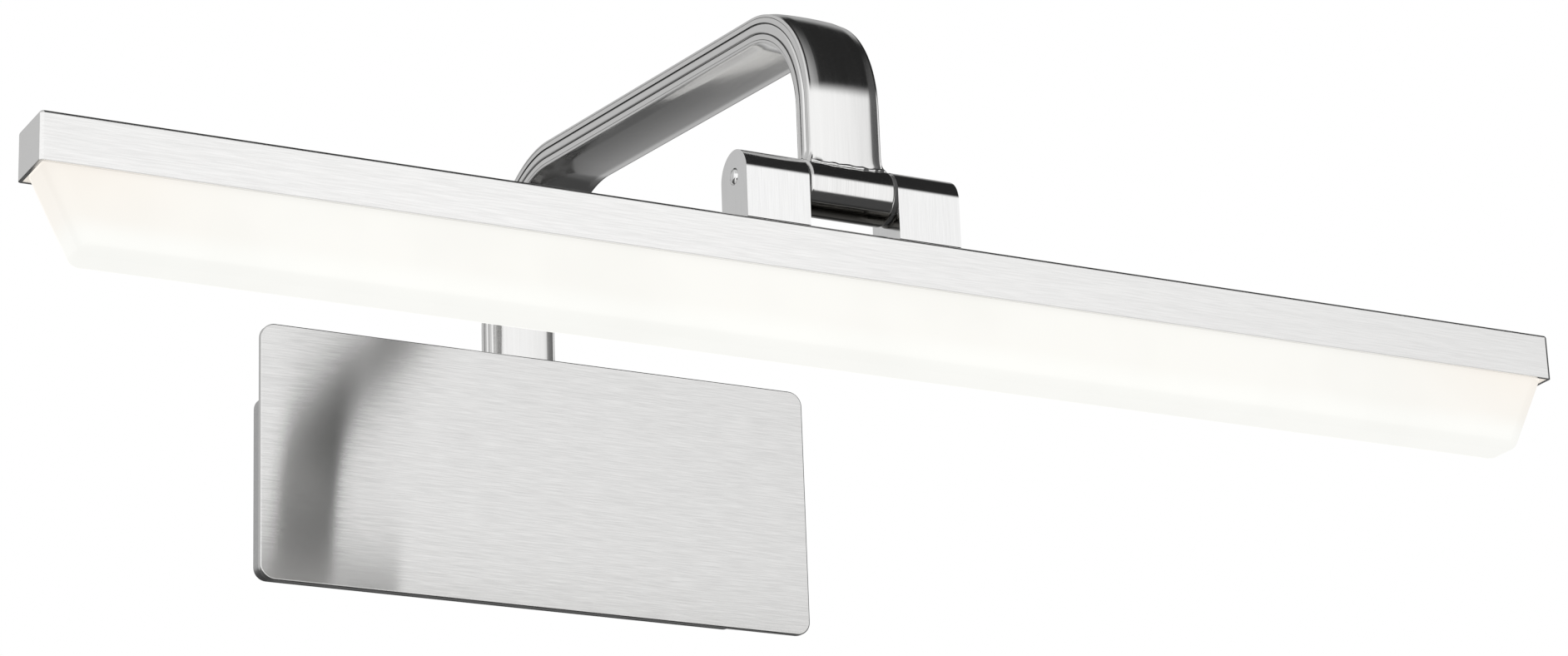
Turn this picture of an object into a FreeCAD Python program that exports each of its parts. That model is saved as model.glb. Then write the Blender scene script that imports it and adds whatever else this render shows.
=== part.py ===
"""Picture light: a wall unit with a cover plate, a bent flat-oval arm and a tilting LED head.

Frame: the wall is the plane Y = 0 and the light stands out from it towards -Y. +Z is up and X runs
along the head. The origin is the midpoint between the two wall screw slots. All sizes are in mm.
"""
import FreeCAD, Part
import math
import os
import Sketcher

Vector = FreeCAD.Vector

# Driving dimensions, written into the spreadsheet under these aliases.
SIZES = {
    # wall unit
    "cover_width": 160.0,
    "cover_height": 70.0,
    "cover_thick": 1.6,
    "cover_corner": 4.0,
    "cover_edge": 0.35,
    "housing_width": 142.0,
    "housing_height": 51.0,
    "housing_depth": 27.0,
    "housing_wall": 1.2,
    "housing_corner": 3.5,
    "housing_drop": 1.3,
    "bracket_thick": 1.5,
    "bracket_width": 130.0,
    "bracket_gap": 0.3,
    "slot_spacing": 60.0,
    "slot_width": 4.5,
    "slot_length": 10.0,
    "inlet_hole": 6.0,
    "inlet_bore": 3.5,
    "tab_width": 15.0,
    "tab_depth": 13.0,
    "tab_offset": 42.5,
    "stud_offset": 63.5,
    "stud_radius": 2.0,
    "stud_length": 8.0,
    # arm
    "arm_width": 19.4,
    "arm_thick": 8.4,
    "arm_wall": 1.2,
    "arm_corner": 2.2,
    "arm_groove": 0.45,
    "arm_rib": 2.9,
    "arm_root_reach": 15.2,
    "arm_root_height": 9.0,
    "arm_crown_height": 87.3,
    "arm_slope": 5.9,
    "arm_root_bend": 37.2,
    "arm_front_bend": 28.8,
    "socket_width": 30.0,
    "socket_depth": 18.3,
    "fit_gap": 0.05,
    # tilting joint
    "pivot_reach": 201.2,
    "pivot_height": 20.6,
    "barrel_radius": 6.75,
    "barrel_length": 22.6,
    "block_inner": 11.9,
    "block_outer": 28.5,
    "block_radius": 6.6,
    "pin_radius": 2.0,
    "bush_radius": 4.0,
    "bush_bore": 2.5,
    # head
    "head_length": 400.0,
    "head_front": 208.0,
    "head_depth": 15.2,
    "head_height": 11.7,
    "head_top": 8.6,
    "tray_wall": 0.9,
    "tray_corner": 0.9,
    "tray_edge": 0.8,
    "bar_thick": 2.5,
    "board_thick": 1.2,
    "board_width": 9.0,
    "board_length": 384.0,
    "chip_pitch": 16.0,
    "chip_count": 24.0,
    "diffuser_bottom": 22.4,
    "diffuser_inset": 1.0,
    "diffuser_end_inset": 1.4,
    "diffuser_taper": 9.6,
    "diffuser_wall": 1.5,
    "diffuser_round": 3.0,
    "diffuser_corner": 3.5,
    "diffuser_rim": 1.5,
    # leads
    "arm_lead_radius": 1.5,
    "head_lead_radius": 1.1,
}

doc = FreeCAD.newDocument("PictureLight")
sheet = doc.addObject("Spreadsheet::Sheet", "Sizes")


def fill_sheet():
    for row, (alias, value) in enumerate(SIZES.items(), start=1):
        sheet.set(f"A{row}", alias)
        sheet.set(f"B{row}", str(value))
        sheet.setAlias(f"B{row}", alias)
    doc.recompute()


class Dim:
    """A size that carries its value and the spreadsheet expression that gives it."""

    def __init__(self, value, text):
        self.value = value
        self.text = text

    def __add__(self, other):
        other = as_dim(other)
        return Dim(self.value + other.value, f"({self.text} + {other.text})")

    def __sub__(self, other):
        other = as_dim(other)
        return Dim(self.value - other.value, f"({self.text} - {other.text})")

    def __mul__(self, factor):
        factor = as_dim(factor)
        return Dim(self.value * factor.value, f"({self.text} * {factor.text})")

    def __truediv__(self, divisor):
        divisor = as_dim(divisor)
        return Dim(self.value / divisor.value, f"({self.text} / {divisor.text})")

    def __neg__(self):
        return Dim(-self.value, f"(0 - {self.text})")


def as_dim(number):
    return number if isinstance(number, Dim) else Dim(float(number), repr(float(number)))


def dim(alias):
    return Dim(float(sheet.get(alias)), f"Sizes.{alias}")


def bind(thing, prop, size):
    """Bind a property to a size, so that it follows the spreadsheet."""
    thing.setExpression(prop, as_dim(size).text)


# ---------------------------------------------------------------- Part primitives and booleans

def place(solid, x, y, z):
    for axis, size in zip("xyz", (x, y, z)):
        bind(solid, f"Placement.Base.{axis}", size)


def box(label, low, size):
    """A block from its lowest corner and its three sizes."""
    solid = doc.addObject("Part::Box", label)
    for prop, length in zip(("Length", "Width", "Height"), size):
        bind(solid, prop, length)
    place(solid, *low)
    return solid


TURNS = {
    "X": FreeCAD.Rotation(Vector(0, 1, 0), 90),
    "Y": FreeCAD.Rotation(Vector(1, 0, 0), -90),
    "Z": FreeCAD.Rotation(),
}


def rod(label, start, radius, length, axis):
    """A cylinder from its start point along +X, +Y or +Z."""
    solid = doc.addObject("Part::Cylinder", label)
    bind(solid, "Radius", radius)
    bind(solid, "Height", length)
    solid.Placement = FreeCAD.Placement(Vector(), TURNS[axis])
    place(solid, *start)
    return solid


def hexagon(label, start, across_flats, length, axis):
    """A six-sided prism from its start point along +X, +Y or +Z."""
    solid = doc.addObject("Part::Prism", label)
    solid.Polygon = 6
    bind(solid, "Circumradius", as_dim(across_flats) / math.sqrt(3))
    bind(solid, "Height", length)
    solid.Placement = FreeCAD.Placement(Vector(), TURNS[axis])
    place(solid, *start)
    return solid


def fuse(label, solids):
    joined = doc.addObject("Part::MultiFuse", label)
    joined.Shapes = solids
    return joined


def cut(label, solid, tools):
    tool = tools[0] if len(tools) == 1 else fuse(f"{label}_tools", tools)
    result = doc.addObject("Part::Cut", label)
    result.Base = solid
    result.Tool = tool
    return result


def group(label, solids):
    """Identical pieces that share one node: a compound of separate solids."""
    compound = doc.addObject("Part::Compound", label)
    compound.Links = solids
    return compound


# ---------------------------------------------------------------- PartDesign bodies

def new_body(label):
    return doc.addObject("PartDesign::Body", label)


def new_sketch(body, name, role, offset=0):
    """A sketch on one of the body's origin planes, moved along the plane's normal."""
    sketch = body.newObject("Sketcher::SketchObject", name)
    plane = next(item for item in body.Origin.OriginFeatures if item.Role == role)
    sketch.AttachmentSupport = [(plane, "")]
    sketch.MapMode = "FlatFace"
    bind(sketch, "AttachmentOffset.Base.z", offset)
    return sketch


def pin_point(sketch, shape, point, x, y):
    """Hold one point of a sketch at (x, y) from the sketch's origin."""
    for kind, size in (("DistanceX", x), ("DistanceY", y)):
        size = as_dim(size)
        index = sketch.addConstraint(Sketcher.Constraint(kind, -1, 1, shape, point, size.value))
        sketch.setExpression(f"Constraints[{index}]", size.text)


def hold_radius(sketch, shape, radius):
    index = sketch.addConstraint(Sketcher.Constraint("Radius", shape, radius.value))
    sketch.setExpression(f"Constraints[{index}]", radius.text)


def bulge_middle(start, end, radius):
    """Middle of the arc from start to end that stands out to the right of its chord."""
    chord = end - start
    outward = Vector(chord.y, -chord.x, 0).normalize()
    half = chord.Length / 2
    rise = radius - math.sqrt(radius * radius - half * half)
    return start + chord / 2 + outward * rise


def draw_outline(sketch, corners):
    """A closed outline, drawn anticlockwise. A corner is (x, y), and a straight side leaves it,
    or (x, y, radius), and a convex arc leaves it."""
    corners = [tuple(as_dim(size) for size in corner) for corner in corners]
    points = [Vector(corner[0].value, corner[1].value, 0) for corner in corners]
    first = sketch.GeometryCount
    for corner, start, end in zip(corners, points, points[1:] + points[:1]):
        if len(corner) == 3:
            side = Part.Arc(start, bulge_middle(start, end, corner[2].value), end)
        else:
            side = Part.LineSegment(start, end)
        sketch.addGeometry(side, False)
    for step, corner in enumerate(corners):
        after = first + (step + 1) % len(corners)
        sketch.addConstraint(Sketcher.Constraint("Coincident", first + step, 2, after, 1))
        pin_point(sketch, first + step, 1, corner[0], corner[1])
        if len(corner) == 3:
            hold_radius(sketch, first + step, corner[2])


def draw_rectangle(sketch, left, bottom, width, height):
    left, bottom = as_dim(left), as_dim(bottom)
    right, top = left + width, bottom + height
    draw_outline(sketch, [(left, bottom), (right, bottom), (right, top), (left, top)])


def draw_disc(sketch, x, y, radius):
    x, y, radius = as_dim(x), as_dim(y), as_dim(radius)
    circle = Part.Circle(Vector(x.value, y.value, 0), Vector(0, 0, 1), radius.value)
    index = sketch.addGeometry(circle, False)
    pin_point(sketch, index, 3, x, y)
    hold_radius(sketch, index, radius)


def pad(body, sketch, length, both_ways=False):
    """A block along the sketch's normal."""
    feature = body.newObject("PartDesign::Pad", f"{sketch.Name}_pad")
    feature.Profile = sketch
    bind(feature, "Length", length)
    feature.Midplane = both_ways
    doc.recompute()
    return feature


def pocket(body, sketch, depth, both_ways=False):
    """A cut along the sketch's normal, checked to have taken material away."""
    before = body.Shape.Volume
    feature = body.newObject("PartDesign::Pocket", f"{sketch.Name}_pocket")
    feature.Profile = sketch
    bind(feature, "Length", depth)
    feature.Midplane = both_ways
    feature.Reversed = not both_ways
    doc.recompute()
    if body.Shape.Volume > before - 1e-3:
        raise RuntimeError(f"{feature.Name} cut nothing")
    return feature


def edge_names(shape, wanted):
    """Names of the edges whose start, middle and end points pass the test."""
    names = []
    for number, edge in enumerate(shape.Edges, start=1):
        first, last = edge.ParameterRange
        points = [edge.valueAt(first), edge.valueAt((first + last) / 2), edge.valueAt(last)]
        if wanted(points):
            names.append(f"Edge{number}")
    if not names:
        raise RuntimeError("no edge passes the test")
    return names


def along(points, axis):
    """Whether an edge is straight along the given axis (0, 1 or 2)."""
    low, high = points[0], points[-1]
    return all(abs(low[other] - high[other]) < 1e-6 for other in range(3) if other != axis)


def at(points, axis, place):
    """Whether an edge lies in the plane where the given coordinate has this value."""
    return all(abs(point[axis] - place.value) < 1e-6 for point in points)


def dress(body, kind, size, wanted):
    """A fillet or chamfer on the body's edges that pass the test."""
    base = body.Tip
    feature = body.newObject(f"PartDesign::{kind}", f"{body.Name}_{kind}_{len(body.Group)}")
    feature.Base = (base, edge_names(base.Shape, wanted))
    bind(feature, "Radius" if kind == "Fillet" else "Size", size)
    doc.recompute()
    return feature


# ---------------------------------------------------------------- wall unit

# Places of the small fixings inside the wall unit, and their sizes.
EARTH_X, EARTH_Z, EARTH_RADIUS = -14.0, -16.0, 2.0
BASE_SCREW_REACH, BASE_SCREW_RADIUS = 8.0, 1.5
SOCKET_SCREW_X, SOCKET_SCREW_Z, SOCKET_SCREW_RADIUS = 12.2, 16.0, 1.5
LEAD_START_Z = -2.0
STUD_CLEARANCE, ARM_HOLE_CLEARANCE = 0.25, 0.4


def housing_low():
    return -dim("housing_height") / 2 - dim("housing_drop")


def housing_high():
    return dim("housing_height") / 2 - dim("housing_drop")


def housing_front_inside():
    return -dim("housing_depth") + dim("housing_wall")


def make_wall_bracket():
    """Steel plate on the wall: two screw slots, the mains inlet hole and four bent tabs."""
    body = new_body("wall_bracket")
    thick, gap = dim("bracket_thick"), dim("bracket_gap")
    low = housing_low() + dim("housing_wall") + gap
    high = housing_high() - dim("housing_wall") - gap
    width = dim("bracket_width")
    plate = new_sketch(body, "bracket_plate", "XZ_Plane")
    draw_rectangle(plate, -width / 2, low, width, high - low)
    pad(body, plate, thick)
    tabs = new_sketch(body, "bracket_tabs", "XZ_Plane")
    for side in (-1, 1):
        left = dim("tab_offset") * side - dim("tab_width") / 2
        draw_rectangle(tabs, left, low, dim("tab_width"), thick)
        draw_rectangle(tabs, left, high - thick, dim("tab_width"), thick)
    pad(body, tabs, dim("tab_depth"))
    slots = new_sketch(body, "bracket_slots", "XZ_Plane")
    holes = new_sketch(body, "bracket_holes", "XZ_Plane")
    radius = dim("slot_width") / 2
    straight = dim("slot_length") - dim("slot_width")
    for side in (-1, 1):
        middle = dim("slot_spacing") / 2 * side
        draw_rectangle(slots, middle - straight / 2, -radius, straight, dim("slot_width"))
        draw_disc(holes, middle - straight / 2, 0, radius)
        draw_disc(holes, middle + straight / 2, 0, radius)
    draw_disc(holes, 0, 0, dim("inlet_hole"))
    draw_disc(holes, EARTH_X, EARTH_Z, EARTH_RADIUS)
    pocket(body, slots, thick)
    pocket(body, holes, thick)
    threads = new_sketch(body, "bracket_threads", "XY_Plane", low)
    for side in (-1, 1):
        draw_disc(threads, dim("tab_offset") * side, -BASE_SCREW_REACH, BASE_SCREW_RADIUS)
    pocket(body, threads, thick)
    return body


def make_base_housing():
    """Folded steel box, open at the wall, that carries everything in the wall unit."""
    body = new_body("base_housing")
    width, height, depth = dim("housing_width"), dim("housing_height"), dim("housing_depth")
    wall, corner = dim("housing_wall"), dim("housing_corner")
    outside = new_sketch(body, "housing_outside", "XZ_Plane")
    draw_rectangle(outside, -width / 2, housing_low(), width, height)
    pad(body, outside, depth)
    dress(body, "Fillet", corner, lambda points: along(points, 1))
    inside = new_sketch(body, "housing_inside", "XZ_Plane")
    draw_rectangle(inside, -width / 2 + wall, housing_low() + wall, width - wall * 2, height - wall * 2)
    pocket(body, inside, depth - wall)
    inner_x = (width / 2 - wall).value
    dress(body, "Fillet", corner - wall,
          lambda points: along(points, 1) and all(abs(abs(p.x) - inner_x) < 1e-6 for p in points))
    arm_hole = new_sketch(body, "housing_arm_hole", "XY_Plane", housing_high() - wall * 2)
    hole_width, hole_depth = dim("arm_width") + ARM_HOLE_CLEARANCE, dim("arm_thick") + ARM_HOLE_CLEARANCE
    draw_rectangle(arm_hole, -hole_width / 2, -dim("arm_root_reach") - hole_depth / 2, hole_width, hole_depth)
    pocket(body, arm_hole, wall * 3)
    front_holes = new_sketch(body, "housing_front_holes", "XZ_Plane", depth - wall * 2)
    for side in (-1, 1):
        draw_disc(front_holes, dim("stud_offset") * side, 0, dim("stud_radius") + STUD_CLEARANCE)
        draw_disc(front_holes, SOCKET_SCREW_X * side, SOCKET_SCREW_Z, SOCKET_SCREW_RADIUS)
    pocket(body, front_holes, wall * 3)
    floor_holes = new_sketch(body, "housing_floor_holes", "XY_Plane", housing_low() - wall)
    for side in (-1, 1):
        draw_disc(floor_holes, dim("tab_offset") * side, -BASE_SCREW_REACH, BASE_SCREW_RADIUS)
    pocket(body, floor_holes, wall * 3)
    return body


def make_front_cover():
    """Brushed face plate with rounded corners and a softened front edge."""
    body = new_body("front_cover")
    width, height, back = dim("cover_width"), dim("cover_height"), dim("housing_depth")
    face = new_sketch(body, "cover_face", "XZ_Plane", back)
    draw_rectangle(face, -width / 2, -height / 2, width, height)
    pad(body, face, dim("cover_thick"))
    dress(body, "Fillet", dim("cover_corner"), lambda points: along(points, 1))
    front = -back - dim("cover_thick")
    dress(body, "Fillet", dim("cover_edge"), lambda points: at(points, 1, front))
    return body


def make_cover_fixings():
    """Studs welded to the back of the cover, and the nuts that hold them inside the housing."""
    studs, nuts = [], []
    nut_thick, nut_across = 3.2, 7.0
    for number, side in enumerate((-1, 1), start=1):
        x = dim("stud_offset") * side
        stud_start = (x, -dim("housing_depth"), 0)
        studs.append(rod(f"stud_{number}", stud_start, dim("stud_radius"), dim("stud_length"), "Y"))
        start = (x, housing_front_inside(), 0)
        blank = hexagon(f"nut_blank_{number}", start, nut_across, nut_thick, "Y")
        bore = rod(f"nut_bore_{number}", start, dim("stud_radius"), nut_thick, "Y")
        nuts.append(cut(f"nut_{number}", blank, [bore]))
    return [group("cover_studs", studs), group("cover_nuts", nuts)]


def make_base_screws():
    """Two grub screws that lock the housing to the bracket's lower tabs."""
    screws = []
    length, socket_across, socket_depth, sunk = 3.0, 1.5, 1.4, 0.2
    start_z = housing_low() + sunk
    for number, side in enumerate((-1, 1), start=1):
        start = (dim("tab_offset") * side, -BASE_SCREW_REACH, start_z)
        blank = rod(f"base_screw_blank_{number}", start, BASE_SCREW_RADIUS, length, "Z")
        socket = hexagon(f"base_screw_socket_{number}", start, socket_across, socket_depth, "Z")
        screws.append(cut(f"base_screw_{number}", blank, [socket]))
    return [group("base_screws", screws)]


def make_mains_grommet():
    """Rubber bush in the bracket's inlet hole, flanged on the room side."""
    flange_radius, flange_thick = 8.0, 1.8
    thick = dim("bracket_thick")
    flange_start = (0, -thick - flange_thick, 0)
    sleeve = rod("grommet_sleeve", (0, -thick, 0), dim("inlet_hole"), thick, "Y")
    flange = rod("grommet_flange", flange_start, flange_radius, flange_thick, "Y")
    bore = rod("grommet_bore", flange_start, dim("inlet_bore"), thick + flange_thick, "Y")
    return [cut("mains_grommet", fuse("grommet_blank", [sleeve, flange]), [bore])]


def make_earth_terminal():
    """Earth screw threaded into the bracket, with the ring tag under its head."""
    tag_thick, tag_radius, tail_width, tail_length = 0.8, 4.0, 4.0, 10.0
    head_radius, head_thick, slot_width, slot_depth = 3.6, 2.4, 1.0, 1.2
    thick = dim("bracket_thick")
    tag_y = -thick - tag_thick
    head_y = tag_y - head_thick
    ring = rod("earth_ring", (EARTH_X, tag_y, EARTH_Z), tag_radius, tag_thick, "Y")
    tail = box("earth_tail", (EARTH_X - tail_length, tag_y, EARTH_Z - tail_width / 2),
               (tail_length, tag_thick, tail_width))
    hole = rod("earth_tag_hole", (EARTH_X, tag_y, EARTH_Z), EARTH_RADIUS, tag_thick, "Y")
    tag = cut("earth_tag", fuse("earth_tag_blank", [ring, tail]), [hole])
    shank = rod("earth_shank", (EARTH_X, tag_y, EARTH_Z), EARTH_RADIUS, thick + tag_thick, "Y")
    head = rod("earth_head", (EARTH_X, head_y, EARTH_Z), head_radius, head_thick, "Y")
    slot = box("earth_slot", (EARTH_X - head_radius, head_y, EARTH_Z - slot_width / 2),
               (head_radius * 2, slot_depth, slot_width))
    screw = cut("earth_screw", fuse("earth_screw_blank", [shank, head]), [slot])
    return [tag, screw]


def make_terminal_block():
    """Three-way connector for the mains wires, fixed inside the housing's front wall."""
    ways, pitch, height, depth = 3, 9.0, 16.0, 13.0
    left, low = -56.0, -8.0
    wire_radius, well_radius, well_depth, screw_length = 1.8, 1.7, 6.0, 4.0
    slot_depth, slot_width = 1.0, 0.8
    front = housing_front_inside()
    well_start = front + depth - well_depth
    block = box("terminal_blank", (left, front, low), (ways * pitch, depth, height))
    tools, screws = [], []
    for way in range(ways):
        x = left + pitch * (way + 0.5)
        tools.append(rod(f"wire_way_{way}", (x, well_start - wire_radius, low), wire_radius, height, "Z"))
        tools.append(rod(f"screw_well_{way}", (x, well_start, 0), well_radius, well_depth, "Y"))
        shank = rod(f"terminal_shank_{way}", (x, well_start, 0), well_radius, screw_length, "Y")
        slot_start = (x - well_radius, well_start + screw_length - slot_depth, -slot_width / 2)
        slot = box(f"terminal_slot_{way}", slot_start, (well_radius * 2, slot_depth, slot_width))
        screws.append(cut(f"terminal_screw_{way}", shank, [slot]))
    return [cut("terminal_block", block, tools), group("terminal_screws", screws)]


def make_driver():
    """LED driver: a plastic case with its lid and screws, and the board with its parts inside."""
    left, low, length, height, depth, wall, lid = 19.0, -20.0, 38.0, 38.0, 14.0, 1.5, 1.5
    post_radius, screw_radius, screw_length, head_radius, head_thick = 2.5, 1.2, 8.0, 2.2, 1.4
    board_gap, board_thick, board_side, board_end = 1.5, 1.6, 2.0, 6.0
    post_bite, notch_clearance = 0.5, 0.3
    front = housing_front_inside()
    inset = wall + post_radius - post_bite
    corners = [(left + inset, low + inset), (left + length - inset, low + height - inset)]
    blank = box("driver_case_blank", (left, front, low), (length, depth, height))
    room = box("driver_room", (left + wall, front + wall, low + wall),
               (length - wall * 2, depth - wall, height - wall * 2))
    lead_hole = rod("driver_lead_hole", (left, -dim("arm_root_reach"), LEAD_START_Z),
                    dim("arm_lead_radius"), wall, "X")
    shell = cut("driver_shell", blank, [room, lead_hole])
    cover = box("driver_lid_blank", (left, front + depth, low), (length, lid, height))
    board_y = front + wall + board_gap
    board = box("driver_board_blank", (left + board_side, board_y, low + board_end),
                (length - board_side * 2, board_thick, height - board_end * 2))
    posts, post_bores, lid_holes, screws, notches = [], [], [], [], []
    for number, (x, z) in enumerate(corners, start=1):
        screw_start = (x, front + depth + lid - screw_length, z)
        posts.append(rod(f"driver_post_{number}", (x, front + wall, z), post_radius, depth - wall, "Y"))
        post_bores.append(rod(f"driver_post_bore_{number}", screw_start, screw_radius, screw_length, "Y"))
        lid_holes.append(rod(f"driver_lid_hole_{number}", (x, front + depth, z), screw_radius, lid, "Y"))
        notches.append(rod(f"driver_notch_{number}", (x, board_y, z), post_radius + notch_clearance,
                           board_thick, "Y"))
        shank = rod(f"driver_shank_{number}", screw_start, screw_radius, screw_length, "Y")
        head = rod(f"driver_head_{number}", (x, front + depth + lid, z), head_radius, head_thick, "Y")
        screws.append(fuse(f"driver_screw_{number}", [shank, head]))
    case = cut("driver_case", fuse("driver_case_joined", [shell] + posts), post_bores)
    part_y = board_y + board_thick
    coil = box("driver_transformer", (left + 8, part_y, low + 10), (13.0, 7.0, 12.0))
    can = rod("driver_capacitor", (left + 29, part_y, low + 20), 4.0, 7.0, "Y")
    return [case, cut("driver_lid", cover, lid_holes), group("driver_screws", screws),
            cut("driver_board", board, notches), group("driver_parts", [coil, can])]


def make_arm_socket():
    """Cast block under the housing's top wall that takes the arm's root, with its screws."""
    wall, depth, width, gap = dim("housing_wall"), dim("socket_depth"), dim("socket_width"), dim("fit_gap")
    front = housing_front_inside()
    low, high = dim("arm_root_height"), housing_high() - wall
    block = box("socket_blank", (-width / 2, front, low), (width, depth, high - low))
    slot_width, slot_depth = dim("arm_width") + gap * 2, dim("arm_thick") + gap * 2
    slot = box("socket_slot", (-slot_width / 2, -dim("arm_root_reach") - slot_depth / 2, low),
               (slot_width, slot_depth, high - low))
    arm_back = -dim("arm_root_reach") + dim("arm_thick") / 2
    back = front + depth
    grub_x, grub_radius, drive_across, drive_depth, screw_length = 4.5, 1.5, 1.5, 1.4, 11.0
    tools, long_screws, grubs = [slot], [], []
    for number, side in enumerate((-1, 1), start=1):
        start = (SOCKET_SCREW_X * side, -dim("housing_depth"), SOCKET_SCREW_Z)
        tools.append(rod(f"socket_thread_{number}", start, SOCKET_SCREW_RADIUS, screw_length, "Y"))
        shank = rod(f"socket_shank_{number}", start, SOCKET_SCREW_RADIUS, screw_length, "Y")
        drive = hexagon(f"socket_drive_{number}", start, drive_across, drive_depth, "Y")
        long_screws.append(cut(f"socket_screw_{number}", shank, [drive]))
        grub_start = (grub_x * side, arm_back, SOCKET_SCREW_Z)
        grub_length = back - arm_back
        tools.append(rod(f"grub_thread_{number}", grub_start, grub_radius, grub_length, "Y"))
        grub = rod(f"grub_blank_{number}", grub_start, grub_radius, grub_length, "Y")
        grub_drive = hexagon(f"grub_drive_{number}", (grub_x * side, back - drive_depth, SOCKET_SCREW_Z),
                             drive_across, drive_depth, "Y")
        grubs.append(cut(f"grub_{number}", grub, [grub_drive]))
    return [cut("arm_socket", block, tools), group("arm_socket_screws", long_screws),
            group("arm_grub_screws", grubs)]


# ---------------------------------------------------------------- arm

def arm_corners():
    """Centre line of the arm in (Y, Z): the tangent points of its two bends, between its ends."""
    slope = math.radians(dim("arm_slope").value)
    root_y, front_y = -dim("arm_root_reach").value, -dim("pivot_reach").value
    crown_z = dim("arm_crown_height").value
    shoulder_z = crown_z - (root_y - front_y) * math.tan(slope)
    crown, shoulder = Vector(root_y, crown_z, 0), Vector(front_y, shoulder_z, 0)
    up, run = Vector(0, 1, 0), Vector(-math.cos(slope), -math.sin(slope), 0)
    root_tangent = dim("arm_root_bend").value * math.tan((math.pi / 2 + slope) / 2)
    front_tangent = dim("arm_front_bend").value * math.tan((math.pi / 2 - slope) / 2)
    return [crown - up * root_tangent, crown + run * root_tangent,
            shoulder - run * front_tangent, shoulder - up * front_tangent]


def arm_route(low, high):
    """Straight runs and tangent arcs of the arm's centre line in (Y, Z), from the root's height
    to the height at which the front leg ends."""
    bend_1, bend_2, bend_3, bend_4 = arm_corners()
    centre_1 = bend_1 + Vector(-dim("arm_root_bend").value, 0, 0)
    centre_2 = bend_4 + Vector(dim("arm_front_bend").value, 0, 0)
    middles = []
    for centre, start, end, radius in ((centre_1, bend_1, bend_2, dim("arm_root_bend").value),
                                       (centre_2, bend_3, bend_4, dim("arm_front_bend").value)):
        middles.append(centre + ((start - centre) + (end - centre)).normalize() * radius)
    root, end = Vector(bend_1.x, low.value, 0), Vector(bend_4.x, high.value, 0)
    return [Part.LineSegment(root, bend_1), Part.Arc(bend_1, middles[0], bend_2),
            Part.LineSegment(bend_2, bend_3), Part.Arc(bend_3, middles[1], bend_4),
            Part.LineSegment(bend_4, end)]


def arm_leg_end():
    """Height, inside the barrel's top, where the arm's front leg is cut off."""
    return dim("pivot_height") + dim("barrel_radius") / 2


def arm_path(body, name):
    """The arm's centre line as a sketch on the YZ plane."""
    sketch = new_sketch(body, name, "YZ_Plane")
    for piece in arm_route(dim("arm_root_height"), arm_leg_end()):
        sketch.addGeometry(piece, False)
    for number in range(4):
        sketch.addConstraint(Sketcher.Constraint("Tangent", number, 2, number + 1, 1))
    sketch.addConstraint(Sketcher.Constraint("Vertical", 0))
    sketch.addConstraint(Sketcher.Constraint("Vertical", 4))
    hold_radius(sketch, 1, dim("arm_root_bend"))
    hold_radius(sketch, 3, dim("arm_front_bend"))
    pin_point(sketch, 0, 1, -dim("arm_root_reach"), dim("arm_root_height"))
    pin_point(sketch, 4, 2, -dim("pivot_reach"), arm_leg_end())
    return sketch


def flat_oval(half_width, half_thick, corner, middle, notches):
    """Anticlockwise corners of a rounded rectangle; each narrow side may have V grooves across it,
    given as (place, half width)."""
    def side(sign):
        points = []
        for place, half in notches:
            points += [(half_width * sign, middle + (place - half) * sign),
                       ((half_width - half) * sign, middle + place * sign),
                       (half_width * sign, middle + (place + half) * sign)]
        return points

    low, high = middle - half_thick, middle + half_thick
    return ([(corner - half_width, low), (half_width - corner, low, corner), (half_width, low + corner)]
            + side(1)
            + [(half_width, high - corner, corner), (half_width - corner, high),
               (corner - half_width, high, corner), (-half_width, high - corner)]
            + side(-1)
            + [(-half_width, low + corner, corner)])


def make_arm_tube():
    """Flat-oval tube with three ribs along each narrow side, bent over and coped to the barrel."""
    body = new_body("arm_tube")
    path = arm_path(body, "arm_outer_path")
    half_width, half_thick = dim("arm_width") / 2, dim("arm_thick") / 2
    groove, rib, corner, wall = dim("arm_groove"), dim("arm_rib"), dim("arm_corner"), dim("arm_wall")
    middle = -dim("arm_root_reach")
    outside = new_sketch(body, "arm_outside", "XY_Plane", dim("arm_root_height"))
    draw_outline(outside, flat_oval(half_width, half_thick, corner, middle,
                                    [(-rib / 2, groove), (rib / 2, groove)]))
    doc.recompute()
    tube = body.newObject("PartDesign::AdditivePipe", "arm_sweep")
    tube.Profile = outside
    tube.Spine = path
    doc.recompute()
    solid_volume = body.Shape.Volume
    inside = new_sketch(body, "arm_inside", "XY_Plane", dim("arm_root_height"))
    draw_outline(inside, flat_oval(half_width - wall, half_thick - wall, corner / 2, middle, []))
    inner_path = arm_path(body, "arm_inner_path")
    doc.recompute()
    bore = body.newObject("PartDesign::SubtractivePipe", "arm_bore")
    bore.Profile = inside
    bore.Spine = inner_path
    doc.recompute()
    if body.Shape.Volume > solid_volume - 1:
        raise RuntimeError("the arm is not hollow")
    cope = new_sketch(body, "arm_cope", "YZ_Plane")
    draw_disc(cope, -dim("pivot_reach"), dim("pivot_height"), dim("barrel_radius"))
    pocket(body, cope, dim("arm_width") * 2, both_ways=True)
    return body


def make_arm_bush():
    """Plastic bush in the arm's root that keeps the lead off the tube's cut edge."""
    length, flange, clear, bore_clear = 6.0, 1.2, 0.1, 0.2
    low = dim("arm_root_height")
    width = dim("arm_width") - dim("arm_wall") * 2 - clear
    thick = dim("arm_thick") - dim("arm_wall") * 2 - clear
    middle = -dim("arm_root_reach")
    plug = box("arm_bush_plug", (-(width - dim("arm_corner")) / 2, middle - thick / 2, low),
               (width - dim("arm_corner"), thick, length))
    rim = box("arm_bush_rim", (-dim("arm_width") / 2, middle - dim("arm_thick") / 2, low - flange),
              (dim("arm_width"), dim("arm_thick"), flange))
    bore = rod("arm_bush_bore", (0, middle, low - flange), dim("arm_lead_radius") + bore_clear,
               length + flange, "Z")
    return [cut("arm_bush", fuse("arm_bush_blank", [plug, rim]), [bore])]


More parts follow.
